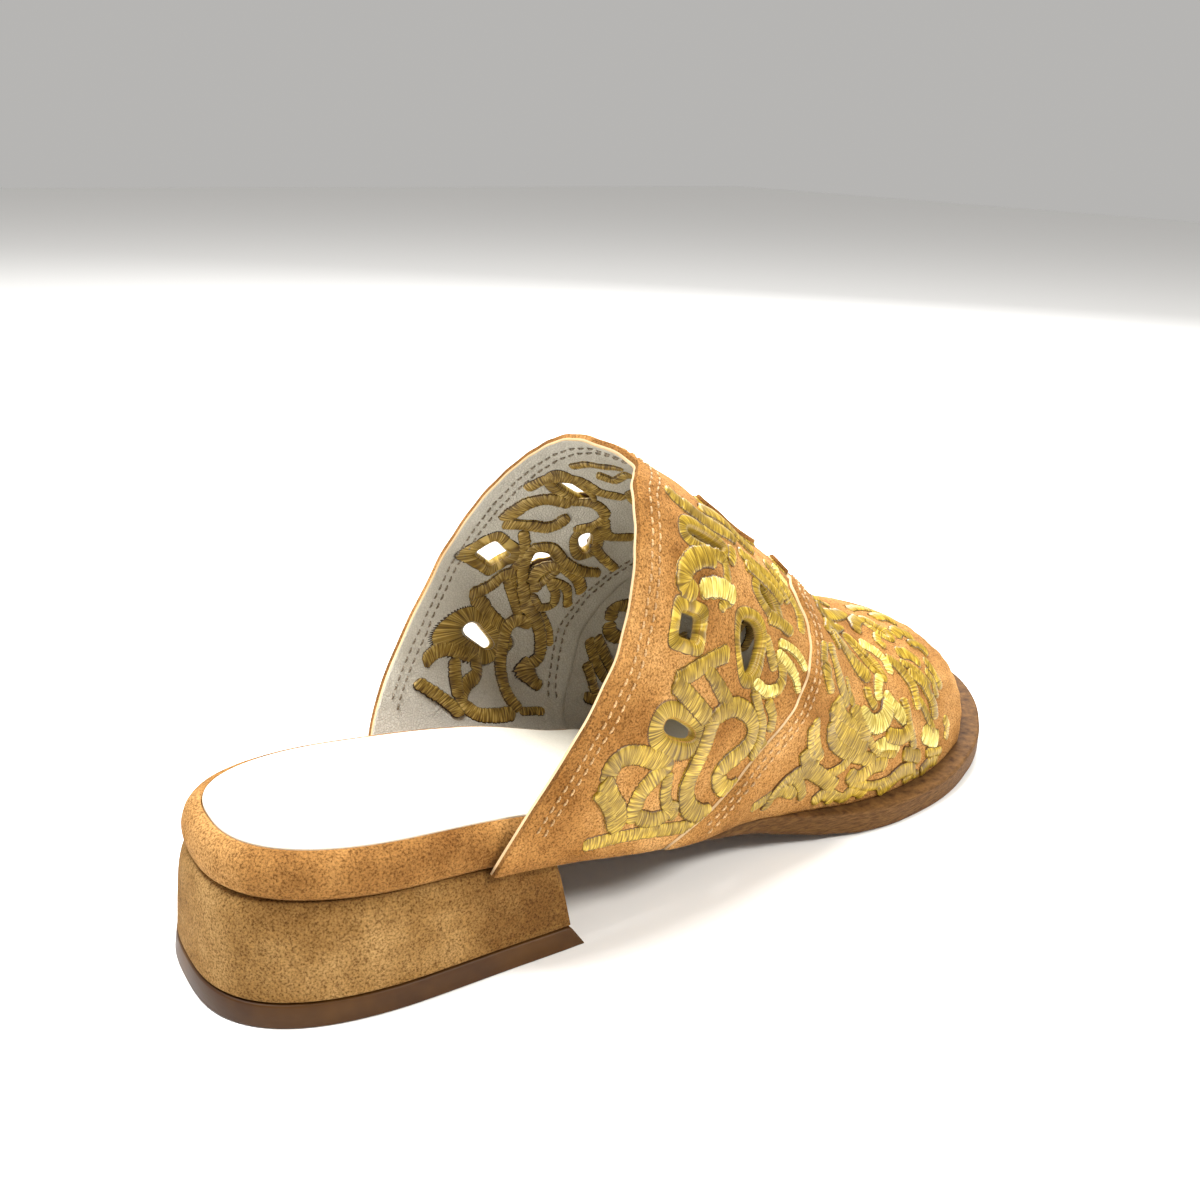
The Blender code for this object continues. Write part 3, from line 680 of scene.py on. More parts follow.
class Nodes:
    """Short way to build one material's nodes."""

    def __init__(self, name):
        self.material = bpy.data.materials.new(name)
        self.material.use_nodes = True
        self.tree = self.material.node_tree
        self.shader = self.tree.nodes["Principled BSDF"]

    def add(self, kind, **values):
        """New node; values set its inputs (with _ for blanks) or its own properties."""
        node = self.tree.nodes.new(kind)
        for key, value in values.items():
            name = key.replace("_", " ")
            if name in node.inputs:
                node.inputs[name].default_value = value
            else:
                setattr(node, key, value)
        return node

    def link(self, start, end):
        """Joins two sockets."""
        self.tree.links.new(start, end)

    def noise(self, coordinates, scale, detail=3.0, roughness=0.55):
        """Noise value at a scale in cells per metre."""
        node = self.add("ShaderNodeTexNoise", Scale=scale, Detail=detail, Roughness=roughness)
        self.link(coordinates, node.inputs["Vector"])
        return node.outputs["Fac"]

    def ramp(self, value, stops):
        """Colours along a value."""
        node = self.add("ShaderNodeValToRGB")
        elements = node.color_ramp.elements
        elements[0].position, elements[0].color = stops[0][0], (*stops[0][1], 1.0)
        elements[1].position, elements[1].color = stops[-1][0], (*stops[-1][1], 1.0)
        for position, colour in stops[1:-1]:
            element = elements.new(position)
            element.color = (*colour, 1.0)
        self.link(value, node.inputs["Fac"])
        return node.outputs["Color"]

    def mix(self, first, second, factor, blend="MIX"):
        """Mixes two colours by a socket or a number."""
        node = self.add("ShaderNodeMix", data_type="RGBA", blend_type=blend)
        colours = [s for s in node.inputs if s.type == "RGBA"]
        for socket, value in ((colours[0], first), (colours[1], second), (node.inputs[0], factor)):
            if isinstance(value, (int, float, tuple)):
                socket.default_value = value if not isinstance(value, tuple) else (*value, 1.0)
            else:
                self.link(value, socket)
        return [s for s in node.outputs if s.type == "RGBA"][0]

    def math(self, operation, first, second=0.0):
        """One sum on two sockets or numbers."""
        node = self.add("ShaderNodeMath", operation=operation)
        for socket, value in zip(node.inputs, (first, second)):
            if isinstance(value, (int, float)):
                socket.default_value = value
            else:
                self.link(value, socket)
        return node.outputs[0]

    def bump(self, height, distance, strength=1.0, below=None):
        """Bump from a height, stacked on another bump."""
        node = self.add("ShaderNodeBump", Strength=strength, Distance=distance)
        self.link(height, node.inputs["Height"])
        if below is not None:
            self.link(below, node.inputs["Normal"])
        return node.outputs["Normal"]

    def finish(self, colour, roughness, normal=None, sheen=0.0, sheen_tint=(1, 1, 1), specular=0.3):
        """Sets the shader's main inputs."""
        inputs = self.shader.inputs
        if isinstance(colour, tuple):
            inputs["Base Color"].default_value = (*colour, 1.0)
        else:
            self.link(colour, inputs["Base Color"])
        if isinstance(roughness, float):
            inputs["Roughness"].default_value = roughness
        else:
            self.link(roughness, inputs["Roughness"])
        inputs["Specular IOR Level"].default_value = specular
        inputs["Sheen Weight"].default_value = sheen
        inputs["Sheen Roughness"].default_value = 0.45
        inputs["Sheen Tint"].default_value = (*sheen_tint, 1.0)
        if normal is not None:
            self.link(normal, inputs["Normal"])
        return self.material

    def position(self):
        """Place in the object's own metres."""
        return self.add("ShaderNodeTexCoord").outputs["Object"]


FLECKS = ((0.36, (0.38, 0.32, 0.26)), (0.50, (0.95, 0.94, 0.92)), (0.66, (1.35, 1.33, 1.28)))
# Thread patches painted lighter and darker: painted highlights standing in for the thread's sheen
THREAD_PAINTED_SHEEN = ((0.34, (0.66, 0.62, 0.54)), (0.54, (1.0, 1.0, 1.0)), (0.72, (1.45, 1.45, 1.5)))
RUBBER_TONES = ((0.35, (0.045, 0.016, 0.002)), (0.65, (0.085, 0.034, 0.004)))


def suede(name, light, middle, dark, fleck=0.5):
    """Brushed nap: clouds where it is stroked, fine dark flecks between the fibres."""
    n = Nodes(name)
    where = n.position()
    clouds = n.noise(where, 45.0, 4.0, 0.6)
    colour = n.ramp(clouds, ((0.32, dark), (0.50, middle), (0.68, light)))
    grain = n.noise(where, 2000.0, 3.0, 0.7)
    colour = n.mix(colour, n.ramp(grain, FLECKS), fleck, "MULTIPLY")
    streaks = n.noise(where, 420.0, 2.0, 0.6)
    normal = n.bump(streaks, 0.00022, 0.5)
    normal = n.bump(grain, 0.00025, 0.9, normal)
    return n.finish(colour, 0.93, normal, sheen=0.18, sheen_tint=light, specular=0.10)


def thread(name, light, middle, dark, edge):
    """Satin stitches: each thread has its own tint, and its dark and pale threads also paint the shade
    between the stitches and highlights on them; random patches are painted lighter and darker as painted
    sheen; the dark line beside the band is painted shadow at the band's edge, together with the needle holes.
    """
    n = Nodes(name)
    uv = n.add("ShaderNodeUVMap").outputs["UV"]
    split = n.add("ShaderNodeSeparateXYZ")
    n.link(uv, split.inputs[0])
    along, across = split.outputs[0], split.outputs[1]
    stretched = n.add("ShaderNodeCombineXYZ")
    n.link(n.math("MULTIPLY", along, 1.0 / THREAD_PITCH), stretched.inputs[0])
    n.link(n.math("MULTIPLY", across, 0.35), stretched.inputs[1])
    # Each thread's own tint, spread wide: dark threads are painted shade between the stitches, pale ones are
    # painted highlights
    per_thread = n.noise(stretched.outputs[0], 1.1, 2.0, 0.6)
    colour = n.ramp(per_thread, ((0.37, dark), (0.50, middle), (0.63, light)))
    # Random patches of painted highlight and painted shade, for the thread's sheen
    painted_sheen_patch = n.noise(n.position(), 110.0, 2.0, 0.5)
    colour = n.mix(colour, n.ramp(painted_sheen_patch, THREAD_PAINTED_SHEEN), 0.8, "MULTIPLY")
    # Outer edges and underside of each band take the dark edge colour: painted shadow at the band's edge,
    # together with the needle holes
    painted_edge_shadow = n.math("GREATER_THAN", n.math("ABSOLUTE", across), 0.91)
    colour = n.mix(colour, edge, painted_edge_shadow)
    fibres = n.noise(stretched.outputs[0], 6.0, 2.0, 0.6)
    normal = n.bump(fibres, 0.00006, 0.6)
    return n.finish(colour, 0.36, normal, sheen=0.05, sheen_tint=light, specular=0.45)


def leather(name, light, dark, grain_scale, grain_depth, roughness, crease_shade=0.15):
    """Smooth leather with pores and faint clouds; the creases between the grain's pebbles are darkened as
    painted shade.
    """
    n = Nodes(name)
    where = n.position()
    clouds = n.noise(where, 28.0, 4.0, 0.55)
    colour = n.ramp(clouds, ((0.34, dark), (0.66, light)))
    cells = n.add("ShaderNodeTexVoronoi", Scale=grain_scale, feature="DISTANCE_TO_EDGE")
    n.link(where, cells.inputs["Vector"])
    pebbles = n.math("MINIMUM", cells.outputs["Distance"], 0.16)
    # Colour darkened in the grain's creases: painted shade
    creases = n.ramp(pebbles, ((0.0, (0.62, 0.60, 0.57)), (0.13, (1.0, 1.0, 1.0))))
    colour = n.mix(colour, creases, crease_shade, "MULTIPLY")
    normal = n.bump(pebbles, grain_depth, 1.0)
    normal = n.bump(n.noise(where, grain_scale * 0.4, 3.0), grain_depth, 0.4, normal)
    return n.finish(colour, roughness, normal, specular=0.35)


def edge_stack(name, light, dark, scale):
    """Edge of stacked or skived leather: fine level streaks."""
    n = Nodes(name)
    where = n.position()
    stretch = n.add("ShaderNodeMapping", Scale=(0.15, 0.15, 1.0))
    n.link(where, stretch.inputs["Vector"])
    streaks = n.noise(stretch.outputs[0], scale, 4.0, 0.65)
    colour = n.ramp(streaks, ((0.30, dark), (0.70, light)))
    normal = n.bump(streaks, 0.00025, 0.6)
    return n.finish(colour, 0.7, normal, specular=0.15)


def rubber(name):
    """Dark caramel lift, satin, with fine drag marks."""
    n = Nodes(name)
    where = n.position()
    stretch = n.add("ShaderNodeMapping", Scale=(0.3, 0.3, 1.0))
    n.link(where, stretch.inputs["Vector"])
    drag = n.noise(stretch.outputs[0], 900.0, 3.0, 0.6)
    colour = n.ramp(n.noise(where, 60.0, 3.0), RUBBER_TONES)
    normal = n.bump(drag, 0.00012, 0.5)
    return n.finish(colour, 0.45, normal, specular=0.22)


TAN_LIGHT = (0.53, 0.290, 0.102)
TAN = (0.38, 0.186, 0.054)
TAN_DARK = (0.235, 0.102, 0.024)
MATERIALS = {
    "upper_suede": suede("upper_suede", TAN_LIGHT, TAN, TAN_DARK, 1.0),
    "rim_suede": suede("rim_suede", (0.43, 0.232, 0.080), (0.31, 0.152, 0.044), (0.185, 0.080, 0.020), 1.0),
    "heel_suede": suede("heel_suede", (0.36, 0.215, 0.080), (0.24, 0.130, 0.040), (0.135, 0.063, 0.016), 1.0),
    # Darker suede: the raw cut suede's own tone on the collar panel's cut edge, and painted shade on the lips
    # round the ridge slots
    "raw_and_shaded_suede": suede("raw_and_shaded_suede", (0.42, 0.22, 0.075), (0.27, 0.125, 0.036), (0.13, 0.055, 0.014), 0.9),
    "lip_suede": suede("lip_suede", (0.80, 0.50, 0.31), (0.70, 0.40, 0.23), (0.55, 0.29, 0.15), 0.6),
    "sock_leather": leather("sock_leather", (0.80, 0.77, 0.68), (0.73, 0.69, 0.59), 900.0, 0.00006, 0.5),
    "lining_leather": leather("lining_leather", (0.66, 0.63, 0.555), (0.52, 0.49, 0.42), 1300.0, 0.0007,
                              0.55, 0.55),
    "cut_edge": leather("cut_edge", (0.80, 0.60, 0.36), (0.60, 0.40, 0.20), 2200.0, 0.0001, 0.85),
    "outsole": edge_stack("outsole", (0.17, 0.082, 0.024), (0.05, 0.021, 0.006), 2600.0),
    "top_piece_rubber": rubber("top_piece_rubber"),
    # The last colour of each thread material is its dark edge line: painted shadow beside the bands, with the
    # needle holes
    "thread_outside": thread("thread_outside", (0.58, 0.400, 0.050), (0.33, 0.205, 0.012),
                             (0.15, 0.084, 0.004), (0.10, 0.045, 0.008)),
    # Pale thread on the listed bands: painted highlights of the thread
    "thread_painted_highlight": thread("thread_painted_highlight", (0.86, 0.76, 0.28), (0.60, 0.46, 0.085), (0.27, 0.18, 0.014),
                            (0.10, 0.045, 0.008)),
    # Thread on the panels' inner faces: a richer gold-brown, painted darker than the outside thread as the
    # shade inside the shoe
    "thread_inside_painted_shade": thread("thread_inside_painted_shade", (0.58, 0.410, 0.12), (0.28, 0.170, 0.028), (0.095, 0.050, 0.008),
                            (0.03, 0.014, 0.004)),
    "lining_thread": thread("lining_thread", (0.30, 0.25, 0.18), (0.17, 0.135, 0.09), (0.08, 0.06, 0.04),
                            (0.08, 0.06, 0.04)),
    "seam_thread": thread("seam_thread", (0.66, 0.44, 0.21), (0.48, 0.285, 0.11), (0.32, 0.17, 0.055),
                          (0.55, 0.36, 0.17)),
}


def give(obj, *names):
    """Gives an object its materials."""
    for name in names:
        obj.data.materials.append(MATERIALS[name])


# Sole, heel and footbed

def spread(start, end, steps, dense_start, dense_end):
    """Stations from start to end, closer together at a rounded end."""
    i = np.arange(steps + 1) / steps
    if dense_start and dense_end:
        shares = 0.5 - 0.5 * np.cos(math.pi * i)
    elif dense_start:
        shares = 1.0 - np.cos(0.5 * math.pi * i)
    else:
        shares = np.sin(0.5 * math.pi * i)
    return start + (end - start) * shares


def ring(offset, height, start=None, end=None, steps=SOLE_STEPS, squareness=HEEL_CURVE):
    """Both sides of an outline, as two rows of points that meet at a rounded end."""
    reach = offset if callable(offset) else lambda station: offset + 0.0 * station
    first = -float(reach(np.zeros(1))[0]) if start is None else start
    final = FOOTBED_LENGTH + float(reach(np.full(1, FOOTBED_LENGTH))[0]) if end is None else end
    stations = spread(first, final, steps, start is None, end is None)
    width = half_width(stations, reach(stations), squareness)
    return place(stations, -width, height(stations)), place(stations, width, height(stations))


def stacked(name, rings, closed_start, closed_end, band_slots=None, **options):
    """Solid through a stack of rings, from the lowest to the highest."""
    count = len(rings[0][0])
    points, loops = [], []
    for outer, inner in rings:
        left = list(range(len(points), len(points) + count))
        points.extend(outer)
        right = []
        for i in range(count):
            shared = (closed_start and i == 0) or (closed_end and i == count - 1)
            if shared:
                right.append(left[i])
            else:
                right.append(len(points))
                points.append(inner[i])
        loop = left + [k for k in reversed(right) if k not in (left[0], left[-1])]
        loops.append((loop, left, right))
    faces, slots = [], []
    for level, ((low, _, _), (high, _, _)) in enumerate(zip(loops, loops[1:])):
        for i in range(len(low)):
            k = (i + 1) % len(low)
            faces.append((low[i], low[k], high[k], high[i]))
            slots.append(band_slots[level] if band_slots else 0)
    for (_, left, right), upward in ((loops[0], False), (loops[-1], True)):
        for i in range(count - 1):
            corners = [left[i], left[i + 1], right[i + 1], right[i]]
            corners = [c for j, c in enumerate(corners) if c not in corners[:j]]
            faces.append(tuple(corners) if upward else tuple(reversed(corners)))
            slots.append((band_slots[-1] if upward else band_slots[0]) if band_slots else 0)
    return piece(name, points, faces, slots=slots, **options)


def rounded_profile(corner, thickness, steps=5):
    """Inset and height of a side with both edges rounded, as pairs from the floor up."""
    angles = [0.5 * math.pi * i / steps for i in range(steps + 1)]
    low = [(corner * (1 - math.sin(a)), corner * (1 - math.cos(a))) for a in angles]
    high = [(corner * (1 - math.cos(a)), thickness - corner * (1 - math.sin(a))) for a in angles]
    return low + high


def make_outsole():
    """Sole with brushed edges; its profile counts up from the underside, then down from the top."""

    def thickness(station):
        return WAIST_THICKNESS + (SOLE_THICKNESS - WAIST_THICKNESS) * last("sole", station)

    rings = []
    for inset, level in rounded_profile(SOLE_CORNER, 1.0, 4):
        low = level < 0.5

        def height(station, level=level, low=low):
            base = bed(station) - JOINT_GAP
            return base - thickness(station) + level if low else base - (1.0 - level)

        def reach(station, inset=inset):
            return WALL + UPPER_GAP + SOLE_LEDGE * last("ledge", station) - inset

        rings.append(ring(reach, height, start=SOLE_START))
    obj = stacked("sole", rings, False, True, nodes=("outsole",), slot="outsole")
    give(obj, "outsole")
    return obj


def heel_ring(share, offset, breast, height):
    """Outline of the heel at a share of the way down to the floor."""
    square = HEEL_CURVE + (HEEL_BASE_CURVE - HEEL_CURVE) * share
    return ring(offset, height, end=breast, steps=SOLE_STEPS, squareness=square)


HEEL_PROFILE_SHARES = np.array((0.00, 0.03, 0.10, 0.28, 0.55, 1.00))
HEEL_PROFILE_FLARES = np.array((-0.30, -0.12, 0.12, 0.38, 0.55, 0.75))
HEEL_LEVELS = (1.0, 0.985, 0.96, *np.linspace(0.92, 0.12, 14), 0.08, 0.05, 0.025, 0.0)


def make_heel_block():
    """Covered heel, swelling below the groove under the rim and flaring to the floor."""
    base = TOP_PIECE_THICKNESS + JOINT_GAP
    rings = []
    for share in HEEL_LEVELS:
        flare = float(smooth(share, HEEL_PROFILE_SHARES, HEEL_PROFILE_FLARES))
        tuck = HEEL_TUCK * max(0.0, 1.0 - (1.0 - share) / HEEL_TUCK_SHARE) ** 2

        def height(station, share=share):
            return base + (bed(station) - JOINT_GAP - base) * (1 - share)

        depth = share * (1.0 - TOP_PIECE_THICKNESS / HEEL_HEIGHT)
        breast = BREAST_TOP + (BREAST_BASE - BREAST_TOP) * share
        rings.append(heel_ring(depth, HEEL_FLARE * flare - tuck, breast, height))
    obj = stacked("heel_cover", rings, True, False, nodes=("heel_block",), slot="heel_suede")
    give(obj, "heel_suede")
    return obj


def make_top_piece():
    """Rubber lift under the heel."""
    rings = []
    for inset, level in rounded_profile(LIFT_CORNER, TOP_PIECE_THICKNESS, 3):
        share = level / TOP_PIECE_THICKNESS
        depth = 1.0 - LIFT_DEPTH * share
        flare = HEEL_FLARE * (1.0 - LIFT_TAPER * share) - inset
        breast = BREAST_FLOOR + (BREAST_BASE - BREAST_FLOOR) * share - inset
        rings.append(heel_ring(depth, flare, breast, lambda station, level=level: level + 0.0 * station))
    obj = stacked("heel_lift", rings, True, False, nodes=("top_piece",), slot="top_piece_rubber")
    give(obj, "top_piece_rubber")
    return obj


RIM_SHARES = np.array((0.00, 0.14, 0.40, 0.68, 0.90, 1.00))
RIM_INSETS = np.array((0.16, 0.04, 0.00, 0.06, 0.20, 0.36))


def make_footbed():
    """Wrapped footbed with a rolled rim; the cover is paler where it comes out at the toe."""
    rings = []
    levels = 1.0 - np.cos(np.linspace(0.0, 0.5 * math.pi, 14))
    for share in np.concatenate((levels * 0.5, 1.0 - levels[::-1][1:] * 0.5)):
        inset = float(smooth(share, RIM_SHARES, RIM_INSETS))

        def height(station, share=share):
            return bed(station) + share * rim(station)

        rings.append(ring(-inset * RIM_THICKNESS, height))
    recess = JOINT_GAP - SOCK_INSET
    rings.append(ring(recess, lambda station: bed(station) + rim(station)))
    rings.append(ring(recess - RECESS_DRAFT, lambda station: bed(station) + rim(station) - SOCK_RECESS))
    obj = stacked("footbed_cover", rings, True, True, nodes=("footbed",), slot="rim_suede")
    give(obj, "rim_suede", "lip_suede")
    toe = PALE_TOE_SHARE * FOOTBED_LENGTH + MOVE[0]
    for polygon in obj.data.polygons:
        polygon.material_index = 1 if polygon.center.x > toe else 0
    return obj


SOCK_PROFILE = ((0.0, 0.0), (0.0, 0.6), (0.0001, 0.85), (0.0003, 0.96), (0.0006, 1.0))


def make_sock_lining():
    """Pale leather lining with a thin edge, its surface a little uneven."""
    rings = []
    for inset, share in SOCK_PROFILE:
        def height(station, share=share):
            return bed(station) + rim(station) - SOCK_RECESS + JOINT_GAP + SOCK_THICKNESS * share
        rings.append(ring(-SOCK_INSET - inset, height))
    obj = stacked("sock", rings, True, True, nodes=("sock_lining",), slot="sock_leather")
    give(obj, "sock_leather")
    return obj


# Upper panels

def panel(name, outer_face, inner_face, edges, counts, holes, edge_slots):
    """Wall between two faces, over rows of stations from its front edge back, with its holes cut."""
    columns = int(PANEL_ARC / GRID)
    around = np.linspace(0.0, 1.0, columns + 1)
    guides = [edge(around) for edge in edges]
    parts = [guides[0][None, :]]
    for before, after, count in zip(guides, guides[1:], counts):
        shares = np.linspace(0.0, 1.0, count + 1)[1:, None]
        parts.append(before + (after - before) * shares)
    station = np.concatenate(parts)
    rows = len(station) - 1
    grid_around = np.broadcast_to(around, station.shape)
    roll = np.minimum(np.abs(station - guides[0]), np.abs(station - guides[-1]))
    rolled = EDGE_ROLL * np.clip(1.0 - roll / EDGE_ROLL_WIDTH, 0.0, 1.0) ** 2
    outer = outer_face(station, grid_around, -rolled)
    inner = inner_face(station, grid_around)
    count = columns + 1
    total = (rows + 1) * count
    points = np.concatenate([outer.reshape(-1, 3), inner.reshape(-1, 3)])
    i, j = np.meshgrid(np.arange(rows), np.arange(columns), indexing="ij")
    a = (i * count + j).ravel()
    top = np.stack([a, a + 1, a + count + 1, a + count], 1)
    low = np.stack([a, a + count, a + count + 1, a + 1], 1) + total
    faces = [tuple(f) for f in top.tolist()] + [tuple(f) for f in low.tolist()]
    slots = [0] * len(top) + [1] * len(low)
    first = list(range(count))
    final = list(range(rows * count, rows * count + count))
    middles = []
    for edge, flip in ((first, False), (final, True)):
        base = 2 * total + len(middles)
        middles.extend(EDGE_SHARE * points[p] + (1.0 - EDGE_SHARE) * points[p + total] for p in edge)
        for i, (p, q) in enumerate(zip(edge, edge[1:])):
            for face, kind in (((p, base + i, base + i + 1, q), edge_slots[0]),
                               ((base + i, p + total, q + total, base + i + 1), edge_slots[1])):
                faces.append(tuple(reversed(face)) if flip else face)
                slots.append(kind)
    corners = {first[0]: 2 * total, first[-1]: 2 * total + count - 1,
               final[0]: 2 * total + count, final[-1]: 2 * total + 2 * count - 1}
    points = np.concatenate([points, np.array(middles)])
    left = [k * count for k in range(rows + 1)]
    right = [k * count + columns for k in range(rows + 1)]
    for edge, flip in ((left, True), (right, False)):
        for p, q in zip(edge, edge[1:]):
            start, end = corners.get(p, p), corners.get(q, q)
            face = list(dict.fromkeys((p, start, p + total, q + total, end, q)))
            faces.append(tuple(reversed(face)) if flip else tuple(face))
            slots.append(2)
    obj = piece(name, points, faces, nodes=("upper",), slot="upper_suede", slots=slots)
    give(obj, "upper_suede", "lining_leather", "cut_edge", "raw_and_shaded_suede")
    cut_holes(obj, holes)
    return obj


def surface_step(station, around, u, v, forward):
    """Station and around after a walk of u along forward and v along the surface across it."""
    step = 0.0004
    centre = lining(station, around)
    by_station = (lining(station + step, around) - centre) / step
    by_around = (lining(station, around + step) - centre) / step
    normal = lining_normal(station, around)
    first = unit(forward - normal * np.sum(forward * normal, -1, keepdims=True))
    second = np.cross(normal, first)
    target = first * np.asarray(u)[..., None] + second * np.asarray(v)[..., None]
    aa = np.sum(by_station * by_station, -1)
    bb = np.sum(by_around * by_around, -1)
    ab = np.sum(by_station * by_around, -1)
    ta = np.sum(target * by_station, -1)
    tb = np.sum(target * by_around, -1)
    scale = aa * bb - ab * ab
    return station + (ta * bb - tb * ab) / scale, around + (tb * aa - ta * ab) / scale


def hole_outline(row, side, growth, steps=HOLE_STEPS):
    """Outline of a hole on the surface, grown by a distance, as stations and arounds."""
    hole = dict(zip(HOLE_COLUMNS, row))
    angle = 2 * math.pi * np.arange(steps) / steps
    softer = hole["squareness"]
    cos, sin = np.cos(angle), np.sin(angle)
    along = np.sign(cos) * np.abs(cos) ** (2 / softer)
    across = np.sign(sin) * np.abs(sin) ** (2 / softer)
    turn = math.radians(hole["turn"])
    grown = growth * (1.0 + hole["lean"] * np.cos(angle + turn - math.radians(hole["lean_turn"])))
    u = (0.5 * BALL_WIDTH * hole["length"] + grown) * along
    v = (0.5 * BALL_WIDTH * hole["width"] * (1 + hole["taper"] * along) + grown) * across
    back = u * math.cos(turn) - v * math.sin(turn)
    up = u * math.sin(turn) + v * math.cos(turn)
    centre = (hole["along"], hole["up"]) if side < 0 else (hole["inner_along"], 1.0 - hole["inner_up"])
    station = np.full(steps, FOOTBED_LENGTH * centre[0])
    around = np.full(steps, centre[1])
    backward = lining(station - 0.001, around) - lining(station, around)
    return surface_step(station, around, back, up * side, backward)


def cut_holes(obj, holes):
    """Cuts the holes on both sides."""
    points, faces = [], []
    for row in holes:
        for side in (-1, 1):
            station, around = hole_outline(row, side, 0.0)
            base = len(points)
            count = len(station)
            points.extend(offset_surface(station, around, np.full(count, -CUT_INSIDE)))
            points.extend(offset_surface(station, around, np.full(count, CUT_OUTSIDE)))
            low = list(range(base, base + count))
            high = list(range(base + count, base + 2 * count))
            faces.append(tuple(low))
            faces.append(tuple(reversed(high)))
            for i in range(count):
                k = (i + 1) % count
                faces.append((low[i], high[i], high[k], low[k]))
    mesh = bpy.data.meshes.new(obj.name + "_cutter")
    mesh.from_pydata((np.array(points) + MOVE).tolist(), [], faces)
    cutter = bpy.data.objects.new(obj.name + "_cutter", mesh)
    CUTTERS.objects.link(cutter)
    make_outward(cutter)
    modifier = obj.modifiers.new("holes", "BOOLEAN")
    modifier.operation = "DIFFERENCE"
    modifier.solver = "EXACT"
    modifier.object = cutter
    apply_modifiers(obj)
    bpy.data.objects.remove(cutter)


def make_outward(obj):
    """Turns a mesh's faces outwards."""
    bm = bmesh.new()
    bm.from_mesh(obj.data)
    bmesh.ops.recalc_face_normals(bm, faces=bm.faces)
    bm.to_mesh(obj.data)
    bm.free()


def apply_modifiers(obj):
    """Replaces an object's mesh by its evaluated one."""
    bpy.context.view_layer.update()
    graph = bpy.context.evaluated_depsgraph_get()
    mesh = bpy.data.meshes.new_from_object(obj.evaluated_get(graph))
    obj.modifiers.clear()
    obj.data = mesh


# Embroidery

class Needlework:
    """Collects worked bands and borders into one mesh."""

    def __init__(self):
        self.points, self.faces, self.uvs, self.slots = [], [], [], []
        self.total = 0

    def tube(self, rows, uvs, slots, closed):
        """Adds a skin round rows of points; each row is a closed loop."""
        count, around = rows.shape[0], rows.shape[1]
        base = self.total
        self.points.append(rows.reshape(-1, 3))
        self.uvs.append(uvs.reshape(-1, 2))
        self.total += count * around
        last_row = count if closed else count - 1
        i, j = np.meshgrid(np.arange(last_row), np.arange(around), indexing="ij")
        a = base + i * around + j
        b = base + i * around + (j + 1) % around
        c = base + ((i + 1) % count) * around + (j + 1) % around
        d = base + ((i + 1) % count) * around + j
        self.faces.extend(np.stack([a, b, c, d], -1).reshape(-1, 4).tolist())
        self.slots.extend(np.broadcast_to(slots, i.shape).ravel().tolist())
        if not closed:
            self.faces.append(list(range(base + around - 1, base - 1, -1)))
            end = base + (count - 1) * around
            self.faces.append(list(range(end, end + around)))
            self.slots.extend([int(slots[0]), int(slots[0])])

    def build(self, name):
        """One object with the outer and the inner thread."""
        points = np.concatenate(self.points)
        uvs = np.concatenate(self.uvs)
        obj = piece(name, points, self.faces, slot="upper_suede", uvs=uvs, slots=self.slots)
        give(obj, "thread_outside", "thread_inside_painted_shade", "thread_painted_highlight")
        make_outward(obj)
        return obj


def path_lengths(points):
    """Length run along a path at each of its points."""
    return np.concatenate(([0.0], np.cumsum(np.linalg.norm(np.diff(points, axis=0), axis=1))))


def spline(points, spacing):
    """Smooth path of (station, around) through given points, evenly spaced in metres."""
    control = np.array(points, float)
    control[:, 0] *= FOOTBED_LENGTH
    knots = path_lengths(lining(control[:, 0], control[:, 1]))
    tangents = np.gradient(control, knots, axis=0)
    fine = np.linspace(0.0, knots[-1], 40 * len(control))
    i = np.clip(np.searchsorted(knots, fine, side="right") - 1, 0, len(knots) - 2)
    run = (knots[i + 1] - knots[i])[:, None]
    t = (fine - knots[i])[:, None] / run
    path = ((1 + 2 * t) * (1 - t) ** 2 * control[i] + t * (1 - t) ** 2 * run * tangents[i]
            + t * t * (3 - 2 * t) * control[i + 1] + t * t * (t - 1) * run * tangents[i + 1])
    length = path_lengths(lining(path[:, 0], path[:, 1]))
    count = max(int(length[-1] / spacing), 6)
    even = np.linspace(0.0, length[-1], count)
    return np.stack([np.interp(even, length, path[:, k]) for k in (0, 1)], 1), even


def band_profile():
    """Across the band, from one edge to the other: place as a share of half the width, and height."""
    v = np.linspace(-1.0, 1.0, BAND_POINTS)
    return v, (1.0 - np.abs(v) ** 2.6) ** 0.55


